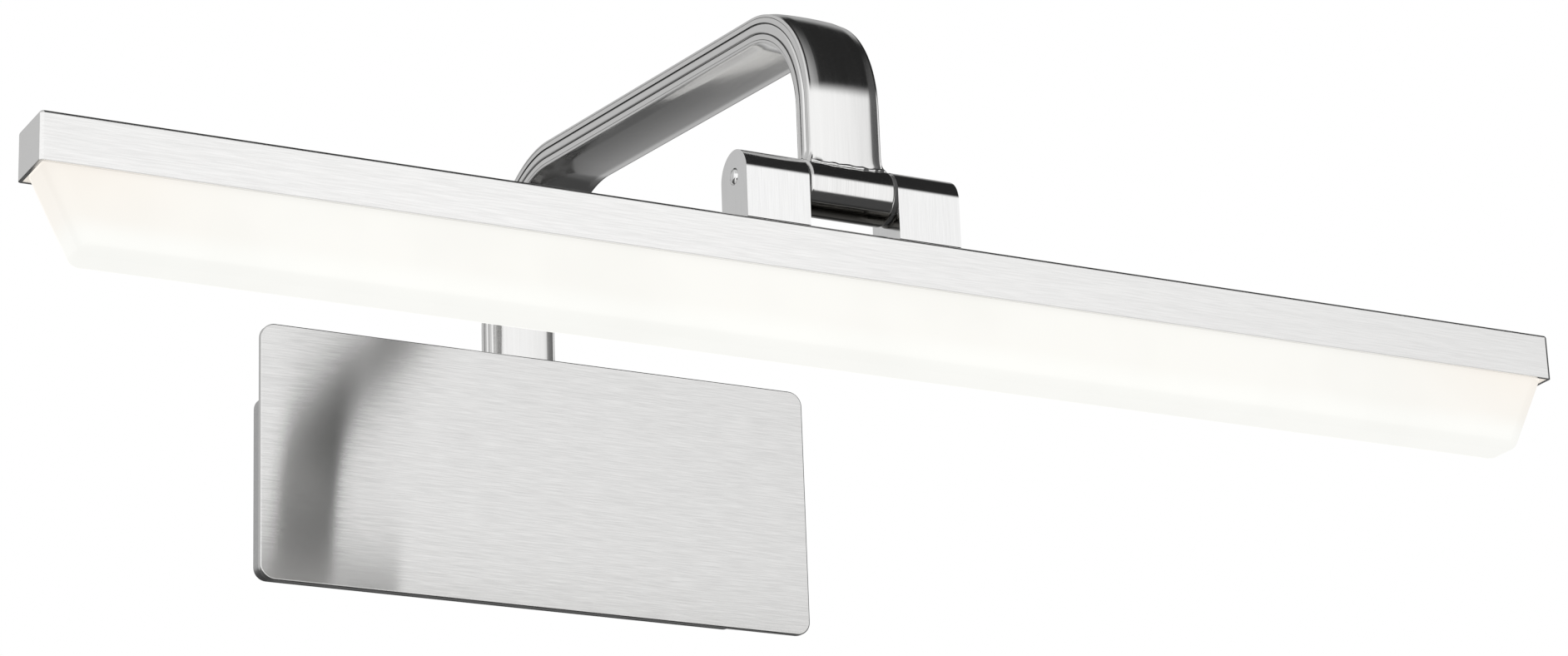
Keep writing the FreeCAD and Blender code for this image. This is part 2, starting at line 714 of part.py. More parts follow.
def sweep_round(label, edges, radius):
    """A round cord along a chain of lines and tangent arcs, checked against section times length."""
    spine = Part.Wire([edge.toShape() for edge in edges])
    first = spine.OrderedEdges[0]
    start = first.valueAt(first.FirstParameter)
    ring = Part.Circle(start, first.tangentAt(first.FirstParameter), radius.value)
    cord = doc.addObject("Part::Feature", label)
    cord.Shape = spine.makePipeShell([Part.Wire(ring.toShape())], True, False)
    expected = math.pi * radius.value ** 2 * spine.Length
    if abs(cord.Shape.Volume / expected - 1) > 0.01:
        raise RuntimeError(f"{label} is not a full sweep")
    return cord


def make_arm_lead():
    """Lead from the driver up through the arm and down to the barrel."""
    bend = 8.0
    y = -dim("arm_root_reach").value
    driver_side, tip_gap = 19.0, 2.5
    corner = Vector(0, y, LEAD_START_Z)
    start, turn = Vector(driver_side, y, LEAD_START_Z), Vector(bend, y, LEAD_START_Z)
    rise = Vector(0, y, LEAD_START_Z + bend)
    middle = Vector(bend, y, LEAD_START_Z + bend) - (Vector(1, 0, 1).normalize() * bend)
    edges = [Part.LineSegment(start, turn), Part.Arc(turn, middle, rise)]
    tip = dim("pivot_height") + tip_gap
    turn_up = FreeCAD.Placement(Vector(), FreeCAD.Rotation(Vector(1, 1, 1), 120))
    for piece in arm_route(as_dim(rise.z), tip):
        piece.transform(turn_up.toMatrix())
        edges.append(piece)
    return [sweep_round("arm_lead", edges, dim("arm_lead_radius"))]


# ---------------------------------------------------------------- tilting joint

# Places and sizes of the hinge blocks' screws, and of the lead's way down through the right block.
BLOCK_END_WALL = 3.5
BLOCK_SCREW_X = (14.6, 26.0)
BLOCK_SCREW_RADIUS, BLOCK_SCREW_GRIP, BLOCK_SCREW_HEAD_RADIUS = 1.5, 4.6, 2.6
LEAD_DROP_X, LEAD_CHANNEL_RADIUS, LEAD_BEND = 20.2, 2.0, 4.0
CONNECTOR_X, CONNECTOR_THICK = 28.5, 2.6
PIN_RECESS_CLEARANCE, PIN_RECESS_DEPTH, PIN_SUNK = 0.15, 0.6, 0.3


def make_hinge_barrel():
    """Barrel at the foot of the arm: a pin bore on the left, and a lead chamber on the right."""
    body = new_body("hinge_barrel")
    radius, length = dim("barrel_radius"), dim("barrel_length")
    y, z, gap = -dim("pivot_reach"), dim("pivot_height"), dim("fit_gap")
    chamber_start, edge, lead_clear = 4.0, 0.8, 0.6
    disc = new_sketch(body, "barrel_disc", "YZ_Plane")
    draw_disc(disc, y, z, radius)
    pad(body, disc, length, both_ways=True)
    ends = (length / 2).value
    dress(body, "Fillet", edge, lambda points: all(abs(abs(p.x) - ends) < 1e-6 for p in points))
    bore = new_sketch(body, "barrel_pin_bore", "YZ_Plane", -length / 2)
    draw_disc(bore, y, z, dim("pin_radius") + gap)
    pocket(body, bore, length / 2)
    chamber = new_sketch(body, "barrel_chamber", "YZ_Plane", -chamber_start)
    draw_disc(chamber, y, z, dim("bush_radius") + gap)
    pocket(body, chamber, length / 2 + chamber_start)
    lead_hole = new_sketch(body, "barrel_lead_hole", "XY_Plane", z)
    draw_disc(lead_hole, 0, y, dim("arm_lead_radius") + lead_clear)
    pocket(body, lead_hole, radius)
    return body


def make_arm_weld():
    """Weld beads in front of and behind the foot of the arm, where it stands on the barrel."""
    size, rise = 0.8, 6.2
    y, z, radius = -dim("pivot_reach"), dim("pivot_height"), dim("barrel_radius")
    half_width, half_thick = dim("arm_width") / 2, dim("arm_thick") / 2
    foot = z + radius / 2
    outer = box("weld_outer", (-half_width - size, y - half_thick - size, foot),
                ((half_width + size) * 2, (half_thick + size) * 2, z + rise - foot))
    inner = box("weld_inner", (-half_width, y - half_thick, foot),
                (half_width * 2, half_thick * 2, z + rise - foot))
    barrel = rod("weld_barrel", (-half_width - size * 2, y, z), radius, (half_width + size * 2) * 2, "X")
    return [cut("arm_weld", outer, [inner, barrel])]


def make_hinge_block(label, side):
    """Block with a round top that stands on the head; the right one passes the lead down."""
    body = new_body(label)
    inner, outer, radius = dim("block_inner"), dim("block_outer"), dim("block_radius")
    y, z, foot = -dim("pivot_reach"), dim("pivot_height"), dim("head_top")
    width = outer - inner
    left = inner if side > 0 else -outer
    stem = new_sketch(body, f"{label}_stem", "YZ_Plane", left)
    draw_rectangle(stem, y - radius, foot, radius * 2, z - foot)
    pad(body, stem, width)
    arch = new_sketch(body, f"{label}_arch", "YZ_Plane", left)
    draw_disc(arch, y, z, radius)
    pad(body, arch, width)
    bore = new_sketch(body, f"{label}_bore", "YZ_Plane", left)
    if side > 0:
        draw_disc(bore, y, z, dim("bush_radius"))
        pocket(body, bore, width - BLOCK_END_WALL)
        channel = new_sketch(body, f"{label}_channel", "XY_Plane", foot)
        draw_disc(channel, LEAD_DROP_X, y, LEAD_CHANNEL_RADIUS)
        pocket(body, channel, z - foot)
    else:
        draw_disc(bore, y, z, dim("pin_radius"))
        pocket(body, bore, width)
        recess = new_sketch(body, f"{label}_recess", "YZ_Plane", left)
        draw_disc(recess, y, z, dim("pin_radius") + PIN_RECESS_CLEARANCE)
        pocket(body, recess, PIN_RECESS_DEPTH)
    threads = new_sketch(body, f"{label}_threads", "XY_Plane", foot)
    for x in BLOCK_SCREW_X:
        draw_disc(threads, x * side, y, BLOCK_SCREW_RADIUS)
    pocket(body, threads, BLOCK_SCREW_GRIP)
    return body


def make_pivots():
    """Left pivot screw, right hollow bush that the lead runs through, and two nylon washers."""
    y, z, gap = -dim("pivot_reach"), dim("pivot_height"), dim("fit_gap")
    inner, outer = dim("block_inner"), dim("block_outer")
    inside, drive_across, drive_depth = 6.0, 2.0, 1.8
    start = (-outer + PIN_SUNK, y, z)
    pin = rod("pivot_screw_blank", start, dim("pin_radius"), outer - PIN_SUNK - inside, "X")
    drive = hexagon("pivot_screw_drive", start, drive_across, drive_depth, "X")
    screw = cut("pivot_screw", pin, [drive])
    bush_start, bush_end = 4.5, 15.5
    sleeve = rod("bush_sleeve", (bush_start, y, z), dim("bush_radius"), bush_end - bush_start, "X")
    hollow = rod("bush_hollow", (bush_start, y, z), dim("bush_bore"), bush_end - bush_start, "X")
    bush = cut("pivot_bush", sleeve, [hollow])
    barrel_end = dim("barrel_length") / 2 + gap
    washer_radius, washer_hole = 6.0, 4.3
    washers = []
    for number, left in enumerate((-inner, barrel_end), start=1):
        disc = rod(f"washer_disc_{number}", (left, y, z), washer_radius, inner - barrel_end, "X")
        hole = rod(f"washer_hole_{number}", (left, y, z), washer_hole, inner - barrel_end, "X")
        washers.append(cut(f"washer_{number}", disc, [hole]))
    return [screw, bush, group("friction_washers", washers)]


# ---------------------------------------------------------------- head

def tray_ceiling():
    return dim("head_top") - dim("tray_wall")


def board_top():
    return tray_ceiling() - dim("bar_thick")


def chip_top():
    return board_top() - dim("board_thick")


def head_middle():
    return -dim("head_front") + dim("head_depth") / 2


def block_screw_places():
    return [x * side for side in (-1, 1) for x in BLOCK_SCREW_X]


def make_head_tray():
    """Folded channel that forms the head's casing, open below, with closed ends."""
    body = new_body("head_tray")
    length, depth, height = dim("head_length"), dim("head_depth"), dim("head_height")
    wall, corner, low = dim("tray_wall"), dim("tray_corner"), dim("head_top") - height
    outside = new_sketch(body, "tray_outside", "XY_Plane", low)
    draw_rectangle(outside, -length / 2, -dim("head_front"), length, depth)
    pad(body, outside, height)
    dress(body, "Fillet", corner, lambda points: along(points, 2))
    dress(body, "Fillet", dim("tray_edge"), lambda points: at(points, 2, dim("head_top")))
    overrun = 1.0
    inside = new_sketch(body, "tray_inside", "XY_Plane", low)
    draw_rectangle(inside, -length / 2 + wall, -dim("head_front") + wall, length - wall * 2, depth - wall * 2)
    pocket(body, inside, height - wall)
    holes = new_sketch(body, "tray_holes", "XY_Plane", tray_ceiling() - overrun)
    for x in block_screw_places():
        draw_disc(holes, x, -dim("pivot_reach"), BLOCK_SCREW_RADIUS)
    draw_disc(holes, LEAD_DROP_X, -dim("pivot_reach"), LEAD_CHANNEL_RADIUS)
    pocket(body, holes, wall + overrun * 2)
    return body


def make_block_screws():
    """Four screws that hold the hinge blocks from inside the tray."""
    screws = []
    head_thick, drive_across, drive_depth, tip_gap = 2.0, 2.0, 1.2, 0.4
    y, ceiling = -dim("pivot_reach"), tray_ceiling()
    for number, x in enumerate(block_screw_places(), start=1):
        shank = rod(f"block_shank_{number}", (x, y, ceiling), BLOCK_SCREW_RADIUS,
                    dim("tray_wall") + BLOCK_SCREW_GRIP - tip_gap, "Z")
        head_start = (x, y, ceiling - head_thick)
        head = rod(f"block_head_{number}", head_start, BLOCK_SCREW_HEAD_RADIUS, head_thick, "Z")
        drive = hexagon(f"block_drive_{number}", head_start, drive_across, drive_depth, "Z")
        blank = fuse(f"block_screw_blank_{number}", [head, shank])
        screws.append(cut(f"block_screw_{number}", blank, [drive]))
    return [group("hinge_block_screws", screws)]


BOARD_SCREW_X = (-160.0, -64.0, 64.0, 160.0)
BOARD_SCREW_RADIUS = 1.0


def make_light_engine():
    """Aluminium bar against the tray, the LED board under it, its chips, screws and connector."""
    middle, pivot = head_middle(), -dim("pivot_reach")
    bar_width, bar_length, head_clear = 12.4, dim("board_length"), 0.3
    bar_lead_shift, board_lead_shift, board_lead_clear = 0.4, 0.8, 0.4
    bar_low, board_low = board_top(), chip_top()
    bar = box("bar_blank", (-bar_length / 2, middle - bar_width / 2, bar_low),
              (bar_length, bar_width, dim("bar_thick")))
    board = box("board_blank", (-dim("board_length") / 2, middle - dim("board_width") / 2, board_low),
                (dim("board_length"), dim("board_width"), dim("board_thick")))
    bar_tools = [rod(f"bar_clearance_{number}", (x, pivot, bar_low),
                     BLOCK_SCREW_HEAD_RADIUS + head_clear, dim("bar_thick"), "Z")
                 for number, x in enumerate(block_screw_places())]
    bar_tools.append(rod("bar_lead_hole", (LEAD_DROP_X + bar_lead_shift, pivot, bar_low),
                         LEAD_CHANNEL_RADIUS, dim("bar_thick"), "Z"))
    board_tools = [rod("board_lead_hole", (LEAD_DROP_X + board_lead_shift, pivot, board_low),
                       LEAD_CHANNEL_RADIUS + board_lead_clear, dim("board_thick"), "Z")]
    screws = []
    head_radius, head_thick = 1.9, 0.9
    for number, x in enumerate(BOARD_SCREW_X, start=1):
        start = (x, middle, board_low)
        length = dim("bar_thick") + dim("board_thick")
        board_tools.append(rod(f"board_screw_hole_{number}", start, BOARD_SCREW_RADIUS,
                               dim("board_thick"), "Z"))
        bar_tools.append(rod(f"bar_thread_{number}", (x, middle, bar_low), BOARD_SCREW_RADIUS,
                             dim("bar_thick"), "Z"))
        shank = rod(f"board_shank_{number}", start, BOARD_SCREW_RADIUS, length, "Z")
        head = rod(f"board_head_{number}", (x, middle, board_low - head_thick), head_radius, head_thick, "Z")
        screws.append(fuse(f"board_screw_{number}", [shank, head]))
    return [cut("heat_bar", bar, bar_tools), cut("led_board", board, board_tools),
            group("board_screws", screws)]


def make_led_chips():
    """One row of light-emitting chips under the board, behind the line of the head's lead."""
    width, depth, thick, row_back = 3.0, 2.0, 0.8, 2.2
    middle, pitch = head_middle() + row_back, dim("chip_pitch")
    count = int(dim("chip_count").value)
    chips = []
    for number in range(count):
        x = pitch * (number - (count - 1) / 2)
        chips.append(box(f"chip_{number}", (x - width / 2, middle - depth / 2, chip_top() - thick),
                         (width, depth, thick)))
    return [group("led_chips", chips)]


def make_board_connector():
    """Connector on the board that the head's lead plugs into."""
    length, depth, thick, mouth_depth, front_side = 7.0, 4.0, CONNECTOR_THICK, 1.0, 1.5
    y, low = -dim("pivot_reach"), chip_top() - thick
    blank = box("connector_blank", (CONNECTOR_X, y - front_side, low), (length, depth, thick))
    mouth_start = (CONNECTOR_X, y, low + thick / 2)
    mouth = rod("connector_mouth", mouth_start, dim("head_lead_radius"), mouth_depth, "X")
    return [cut("board_connector", blank, [mouth])]


def make_head_lead():
    """Lead from the barrel through the hollow bush and the right block to the board's connector."""
    start_x, end_x = 5.0, CONNECTOR_X
    y, z = -dim("pivot_reach").value, dim("pivot_height").value
    low = (chip_top() - CONNECTOR_THICK / 2).value
    bend = LEAD_BEND
    diagonal = bend * math.sqrt(0.5)
    start, turn = Vector(start_x, y, z), Vector(LEAD_DROP_X - bend, y, z)
    top_middle = Vector(LEAD_DROP_X - bend + diagonal, y, z - bend + diagonal)
    drop, rise = Vector(LEAD_DROP_X, y, z - bend), Vector(LEAD_DROP_X, y, low + bend)
    low_middle = Vector(LEAD_DROP_X + bend - diagonal, y, low + bend - diagonal)
    out, end = Vector(LEAD_DROP_X + bend, y, low), Vector(end_x, y, low)
    edges = [Part.LineSegment(start, turn), Part.Arc(turn, top_middle, drop), Part.LineSegment(drop, rise),
             Part.Arc(rise, low_middle, out), Part.LineSegment(out, end)]
    return [sweep_round("head_lead", edges, dim("head_lead_radius"))]


def diffuser_outline(wall, rim):
    """Long section of the diffuser: straight at the rim and tapered towards the bottom."""
    half = dim("head_length") / 2 - dim("diffuser_end_inset") - wall
    low = -dim("diffuser_bottom") + wall
    shoulder = dim("head_top") - dim("head_height")
    narrow = half - dim("diffuser_taper")
    return [(-narrow, low), (narrow, low), (half, shoulder), (half, rim), (-half, rim), (-half, shoulder)]


def make_diffuser():
    """Opal trough under the LEDs, with rounded corners and lower edges."""
    body = new_body("diffuser")
    inset, wall, rounding = dim("diffuser_inset"), dim("diffuser_wall"), dim("diffuser_round")
    rim, bottom = dim("diffuser_rim"), -dim("diffuser_bottom")
    overrun = 1.0
    back = dim("head_front") - dim("head_depth") + inset
    depth = dim("head_depth") - inset * 2
    outside = new_sketch(body, "diffuser_outside", "XZ_Plane", back)
    draw_outline(outside, diffuser_outline(as_dim(0), rim))
    pad(body, outside, depth)

    def in_side_faces(points, thick):
        return at(points, 1, -back - depth + thick) or at(points, 1, -back - thick)

    dress(body, "Fillet", dim("diffuser_corner"),
          lambda points: in_side_faces(points, as_dim(0)) and not at(points, 2, rim) and not at(points, 2, bottom))
    dress(body, "Fillet", rounding, lambda points: at(points, 2, bottom))
    inside = new_sketch(body, "diffuser_inside", "XZ_Plane", back + wall)
    draw_outline(inside, diffuser_outline(wall, rim + overrun))
    pocket(body, inside, depth - wall * 2)
    dress(body, "Fillet", rounding - wall,
          lambda points: (in_side_faces(points, wall) or at(points, 2, bottom + wall)) and not at(points, 2, rim))
    return body


def make_diffuser_clips():
    """Spring strips, in pairs, that reach down from the bar and grip the diffuser's walls."""
    strip_thick, strip_length, grip = 0.4, 8.0, 3.0
    middle = head_middle()
    reach = dim("head_depth") / 2 - dim("diffuser_inset") - dim("diffuser_wall")
    low = dim("diffuser_rim") - grip
    strips = []
    for number, x in enumerate((-144.0, -48.0, 48.0, 144.0)):
        for side, y in (("front", middle - reach), ("back", middle + reach - strip_thick)):
            strips.append(box(f"clip_{side}_{number}", (x - strip_length / 2, y, low),
                              (strip_length, strip_thick, board_top() - low)))
    return [group("diffuser_clips", strips)]


# ---------------------------------------------------------------- build, check and write

def build_all():
    fill_sheet()
    pieces = [make_wall_bracket(), make_base_housing(), make_front_cover()]
    for make in (make_cover_fixings, make_base_screws, make_mains_grommet, make_earth_terminal,
                 make_terminal_block, make_driver, make_arm_socket):
        pieces += make()
    pieces += [make_arm_tube(), make_hinge_barrel()]
    pieces += make_arm_bush() + make_arm_lead() + make_arm_weld()
    pieces += [make_hinge_block("left_hinge_block", -1), make_hinge_block("right_hinge_block", 1)]
    pieces += make_pivots()
    pieces += [make_head_tray(), make_diffuser()]
    for make in (make_block_screws, make_light_engine, make_led_chips, make_board_connector,
                 make_head_lead, make_diffuser_clips):
        pieces += make()
    doc.recompute()
    return pieces


def check_document(pieces):
    for thing in doc.Objects:
        if "Invalid" in thing.State or "Error" in thing.State:
            raise RuntimeError(f"{thing.Label} failed: {thing.State}")
    for piece in pieces:
        if piece.Shape.isNull() or not piece.Shape.isValid():
            raise RuntimeError(f"{piece.Label} has no valid shape")


def write_parts(pieces):
    os.makedirs("parts", exist_ok=True)
    for piece in pieces:
        piece.Shape.exportStep(os.path.join("parts", f"{piece.Label}.step"))
        print(f"{piece.Label}: {len(piece.Shape.Solids)} solid(s), {piece.Shape.Volume:.1f} mm3")


PIECES = build_all()
check_document(PIECES)
write_parts(PIECES)
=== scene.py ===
import math

import bpy
from mathutils import Matrix, Vector, noise


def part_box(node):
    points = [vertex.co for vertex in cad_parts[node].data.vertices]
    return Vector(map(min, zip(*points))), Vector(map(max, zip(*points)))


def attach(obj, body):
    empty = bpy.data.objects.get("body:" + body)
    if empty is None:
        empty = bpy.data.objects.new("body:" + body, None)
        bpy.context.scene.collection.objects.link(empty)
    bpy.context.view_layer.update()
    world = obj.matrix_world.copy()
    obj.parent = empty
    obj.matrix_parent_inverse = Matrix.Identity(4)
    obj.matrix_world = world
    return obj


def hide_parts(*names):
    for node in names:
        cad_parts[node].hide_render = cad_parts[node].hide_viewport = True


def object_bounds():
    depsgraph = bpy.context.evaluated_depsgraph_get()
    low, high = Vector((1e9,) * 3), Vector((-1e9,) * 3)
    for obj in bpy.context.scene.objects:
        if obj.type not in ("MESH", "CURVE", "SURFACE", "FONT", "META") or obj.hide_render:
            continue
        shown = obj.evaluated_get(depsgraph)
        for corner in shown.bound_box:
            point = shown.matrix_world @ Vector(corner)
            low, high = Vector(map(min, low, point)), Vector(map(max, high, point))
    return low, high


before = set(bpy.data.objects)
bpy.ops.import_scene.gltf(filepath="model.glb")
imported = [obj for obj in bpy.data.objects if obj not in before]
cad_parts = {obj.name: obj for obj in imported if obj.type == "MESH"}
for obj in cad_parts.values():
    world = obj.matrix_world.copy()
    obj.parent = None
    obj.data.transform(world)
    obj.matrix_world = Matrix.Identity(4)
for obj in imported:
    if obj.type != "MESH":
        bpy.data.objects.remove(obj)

CAD_LOW, CAD_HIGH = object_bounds()
MM = 0.001

# The camera stands in front, to the left and below, and looks up at the head.
VIEW_AZIMUTH = math.radians(28.065)
VIEW_ELEVATION = math.radians(19.45)
VIEW_ROLL = math.radians(-2.16)
VIEW_DISTANCE = 1.0592
AIM_LEFT_OF_MIDDLE = 16.05 * MM
AIM_BELOW_MIDDLE = 15.0 * MM
AIM_FRONT = 200 * MM
LENS_MM = 104.11
SENSOR_MM = 36

# The lamp hangs on a wall at about eye level, so the floor is well below it.
FLOOR_DROP = 1.7
FLOOR_SIZE = 12.0

# A large softbox in front, to the left and above, in metres from the lamp's middle.
SOFTBOX_WIDTH, SOFTBOX_HEIGHT = 1.6, 1.1
SOFTBOX_WATTS = 12
SOFTBOX_PLACE = Vector((-1.2, -1.8, 1.6))

# The studio's brightness as matt surfaces meet it, and as the camera sees it.
MATT_LIGHT, BACKDROP = 0.85, 1.0

# Most of a noise texture's values lie between these two.
NOISE_LOW, NOISE_HIGH = 0.3, 0.7


# ---------------------------------------------------------------- node helpers


def add_node(tree, kind, inputs=None, **settings):
    """A new node with its settings, and its inputs set to a value or linked to another socket."""
    node = tree.nodes.new(kind)
    for name, value in settings.items():
        setattr(node, name, value)
    for name, value in (inputs or {}).items():
        if isinstance(value, bpy.types.NodeSocket):
            tree.links.new(value, node.inputs[name])
        else:
            node.inputs[name].default_value = value
    return node


def math_node(tree, operation, first, second=0.0):
    """The result of one arithmetic operation on two sockets or numbers."""
    return add_node(tree, "ShaderNodeMath", {0: first, 1: second}, operation=operation).outputs[0]


def ramp(tree, value, start, end, low=0.0, high=1.0):
    """Goes softly from low to high as the value goes from start to end."""
    node = add_node(
        tree,
        "ShaderNodeMapRange",
        {"Value": value, "From Min": start, "From Max": end, "To Min": low, "To Max": high},
        interpolation_type="SMOOTHSTEP",
    )
    return node.outputs["Result"]


def pick(tree, factor, first, second):
    """The first value where the factor is 0, the second where it is 1."""
    return add_node(tree, "ShaderNodeMix", {0: factor, 2: first, 3: second}).outputs[0]


def mix_colors(tree, factor, first, second):
    """The first colour where the factor is 0, the second where it is 1."""
    node = add_node(tree, "ShaderNodeMix", data_type="RGBA")
    for index, value in ((0, factor), (6, first), (7, second)):
        if isinstance(value, bpy.types.NodeSocket):
            tree.links.new(value, node.inputs[index])
        else:
            node.inputs[index].default_value = value
    return node.outputs[2]


def grey(level, warmth=0.0):
    """A neutral colour, a little yellow when warmth is above 0."""
    return (level * (1 + warmth), level, level * (1 - 2 * warmth), 1.0)


def scaled(color, factor):
    """The same colour, so many times as bright."""
    return tuple(channel * factor for channel in color[:3]) + (1.0,)


def local_place(tree):
    """Sockets of the x, y and z of a point in the piece's own metres."""
    coords = add_node(tree, "ShaderNodeTexCoord").outputs["Object"]
    return add_node(tree, "ShaderNodeSeparateXYZ", {0: coords}).outputs


def stretched_noise(tree, per_metre, detail=3.0, roughness=0.5, distortion=0.0):
    """Noise in the piece's own metres, with so many cells per metre along x, y and z."""
    coords = add_node(tree, "ShaderNodeTexCoord").outputs["Object"]
    stretched = add_node(tree, "ShaderNodeVectorMath", {0: coords, 1: per_metre}, operation="MULTIPLY")
    texture = add_node(
        tree,
        "ShaderNodeTexNoise",
        {
            "Vector": stretched.outputs[0],
            "Scale": 1.0,
            "Detail": detail,
            "Roughness": roughness,
            "Distortion": distortion,
        },
    )
    return texture.outputs["Fac"]


def uv_noise(tree, grain, scale, detail):
    """Noise laid out along a piece's own grain map, in cells per metre across and along."""
    stretched = add_node(tree, "ShaderNodeVectorMath", {0: grain, 1: scale}, operation="MULTIPLY")
    inputs = {"Vector": stretched.outputs[0], "Scale": 1.0, "Detail": detail}
    return add_node(tree, "ShaderNodeTexNoise", inputs).outputs["Fac"]


def blend(tree, first, second, share):
    """The sum of two sockets, of which the second has the given share."""
    first = math_node(tree, "MULTIPLY", first, 1 - share)
    second = math_node(tree, "MULTIPLY", second, share)
    return math_node(tree, "ADD", first, second)


def noise_ramp(tree, noise_value, low=0.0, high=1.0):
    """Stretches a noise value to go from low to high over its usual range."""
    return ramp(tree, noise_value, NOISE_LOW, NOISE_HIGH, low, high)


def bump(tree, height, distance, normal=None):
    """A normal socket for a height field whose full range is the distance."""
    inputs = {"Height": height, "Distance": distance, "Strength": 1.0}
    if normal is not None:
        inputs["Normal"] = normal
    return add_node(tree, "ShaderNodeBump", inputs).outputs["Normal"]


def start_material(name, **sockets):
    """A new material with one Principled shader, whose plain values sit on its own sockets."""
    material = bpy.data.materials.new(name)
    material.use_nodes = True
    tree = material.node_tree
    shader = tree.nodes["Principled BSDF"]
    for socket, value in sockets.items():
        shader.inputs[socket.replace("_", " ")].default_value = value
    return material, tree, shader


def connect(tree, shader, **sockets):
    """Links sockets to the shader's inputs."""
    for socket, value in sockets.items():
        tree.links.new(value, shader.inputs[socket.replace("_", " ")])


def cross_grain(tree, along):
    """The direction in the surface that crosses the grain, for grain along a direction of the piece."""
    to_world = add_node(
        tree,
        "ShaderNodeVectorTransform",
        {"Vector": along},
        vector_type="VECTOR",
        convert_from="OBJECT",
        convert_to="WORLD",
    )
    normal = add_node(tree, "ShaderNodeNewGeometry").outputs["Normal"]
    cross = add_node(
        tree,
        "ShaderNodeVectorMath",
        {0: normal, 1: to_world.outputs[0]},
        operation="CROSS_PRODUCT",
    )
    return add_node(tree, "ShaderNodeVectorMath", {0: cross.outputs[0]}, operation="NORMALIZE").outputs[0]


def edge_mask(tree, radius):
    """Above 0 along convex and concave edges, 0 on flat faces."""
    soft = add_node(tree, "ShaderNodeBevel", {"Radius": radius}, samples=4).outputs["Normal"]
    hard = add_node(tree, "ShaderNodeNewGeometry").outputs["Normal"]
    dot = add_node(tree, "ShaderNodeVectorMath", {0: soft, 1: hard}, operation="DOT_PRODUCT")
    return ramp(tree, dot.outputs["Value"], 1.0, 0.9)


# ------------------------------------------------------------------- materials


def brushed_metal(name, tint, grain, fine, coarse, roughness, anisotropy=0.6,
                  contrast=0.12, edge_width=0.6 * MM, edge_wear_and_shade=1.06):
    """Sheet metal with a satin grain: fine lines and broad streaks that run along one direction."""
    streak_share, edge_strength, grain_depth = 0.2, 0.6, 1.0e-6
    material, tree, shader = start_material(name, Metallic=1.0, Anisotropic=anisotropy)
    lines = stretched_noise(tree, fine, detail=4.0, roughness=0.6)
    streaks = stretched_noise(tree, coarse, detail=3.0)
    both = blend(tree, lines, streaks, streak_share)
    plated = mix_colors(tree, noise_ramp(tree, both), scaled(tint, 1 - contrast), tint)
    # Edges take the tint times the edge factor: above 1 a lighter, worn edge; below 1 a painted shade along
    # the edge.
    edges = math_node(tree, "MULTIPLY", edge_mask(tree, edge_width), edge_strength)
    connect(
        tree,
        shader,
        Base_Color=mix_colors(tree, edges, plated, scaled(tint, edge_wear_and_shade)),
        Roughness=noise_ramp(tree, both, roughness * 1.12, roughness * 0.88),
        Tangent=cross_grain(tree, grain),
        Normal=bump(tree, both, grain_depth),
    )
    return material


def polished_tube(name, tint, roughness):
    """Plated tube, polished along its length: fine lines that follow the sweep round its bends,
    and painted shade that darkens the piece's grooves, where its cavity attribute is 1."""
    smear_share, line_depth, spread = 0.4, 0.8e-6, 0.03
    # The grooves are darkened by painted shade, with this colour and roughness.
    groove_shade, groove_roughness = grey(0.2), 0.5
    material, tree, shader = start_material(name, Metallic=1.0, Anisotropic=0.7)
    grain = add_node(tree, "ShaderNodeUVMap", uv_map="grain").outputs["UV"]
    lines = uv_noise(tree, grain, (3000, 45, 1), detail=3.0)
    smears = uv_noise(tree, grain, (420, 30, 1), detail=2.0)
    both = blend(tree, lines, smears, smear_share)
    cavity = add_node(tree, "ShaderNodeAttribute", attribute_name="cavity").outputs["Fac"]
    groove_shade_mask = ramp(tree, cavity, 0.25, 0.8)
    plated = mix_colors(tree, noise_ramp(tree, both), scaled(tint, 0.97), tint)
    rough = noise_ramp(tree, both, roughness + spread, roughness - spread)
    connect(
        tree,
        shader,
        Base_Color=mix_colors(tree, groove_shade_mask, plated, groove_shade),
        Roughness=pick(tree, groove_shade_mask, rough, groove_roughness),
        Tangent=add_node(tree, "ShaderNodeTangent", direction_type="UV_MAP", uv_map="grain").outputs[0],
        Normal=bump(tree, both, line_depth),
    )
    return material


def polished_metal(name, tint, roughness):
    """Plated metal, buffed but not quite even."""
    edge_width, edge_strength, wave_depth, scratch_depth = 0.5 * MM, 0.4, 30e-6, 1e-6
    material, tree, shader = start_material(name, Metallic=1.0)
    waves = stretched_noise(tree, (90, 90, 90), detail=2.0)
    scratches = stretched_noise(tree, (1500, 500, 900), detail=3.0, distortion=0.4)
    plated = mix_colors(tree, noise_ramp(tree, scratches), scaled(tint, 0.9), tint)
    edges = math_node(tree, "MULTIPLY", edge_mask(tree, edge_width), edge_strength)
    connect(
        tree,
        shader,
        Base_Color=mix_colors(tree, edges, plated, grey(0.95)),
        Roughness=ramp(tree, scratches, 0.35, 0.65, roughness - 0.03, roughness + 0.04),
        Normal=bump(tree, scratches, scratch_depth, normal=bump(tree, waves, wave_depth)),
    )
    return material


def turned_metal(name, tint, roughness, shade_start_z, shade_full_z):
    """A plated part turned about the x axis: fine rings round it, and soft broad ones.
    Below the first of its two heights its underside is darkened by painted shade, which is full at the
    second."""
    band_share, ring_depth, spread = 0.5, 0.5e-6, 0.03
    # Painted shade: this dark colour darkens the barrel's underside.
    underside_shade = grey(0.1, 0.04)
    material, tree, shader = start_material(name, Metallic=1.0)
    rings = stretched_noise(tree, (5200, 60, 60), detail=3.0)
    bands = stretched_noise(tree, (420, 25, 25), detail=2.0)
    both = blend(tree, rings, bands, band_share)
    plated = mix_colors(tree, noise_ramp(tree, both), scaled(tint, 0.9), tint)
    height = local_place(tree)[2]
    connect(
        tree,
        shader,
        Base_Color=mix_colors(tree, ramp(tree, height, shade_start_z, shade_full_z), plated, underside_shade),
        Roughness=noise_ramp(tree, both, roughness + spread, roughness - spread),
        Normal=bump(tree, both, ring_depth),
    )
    return material


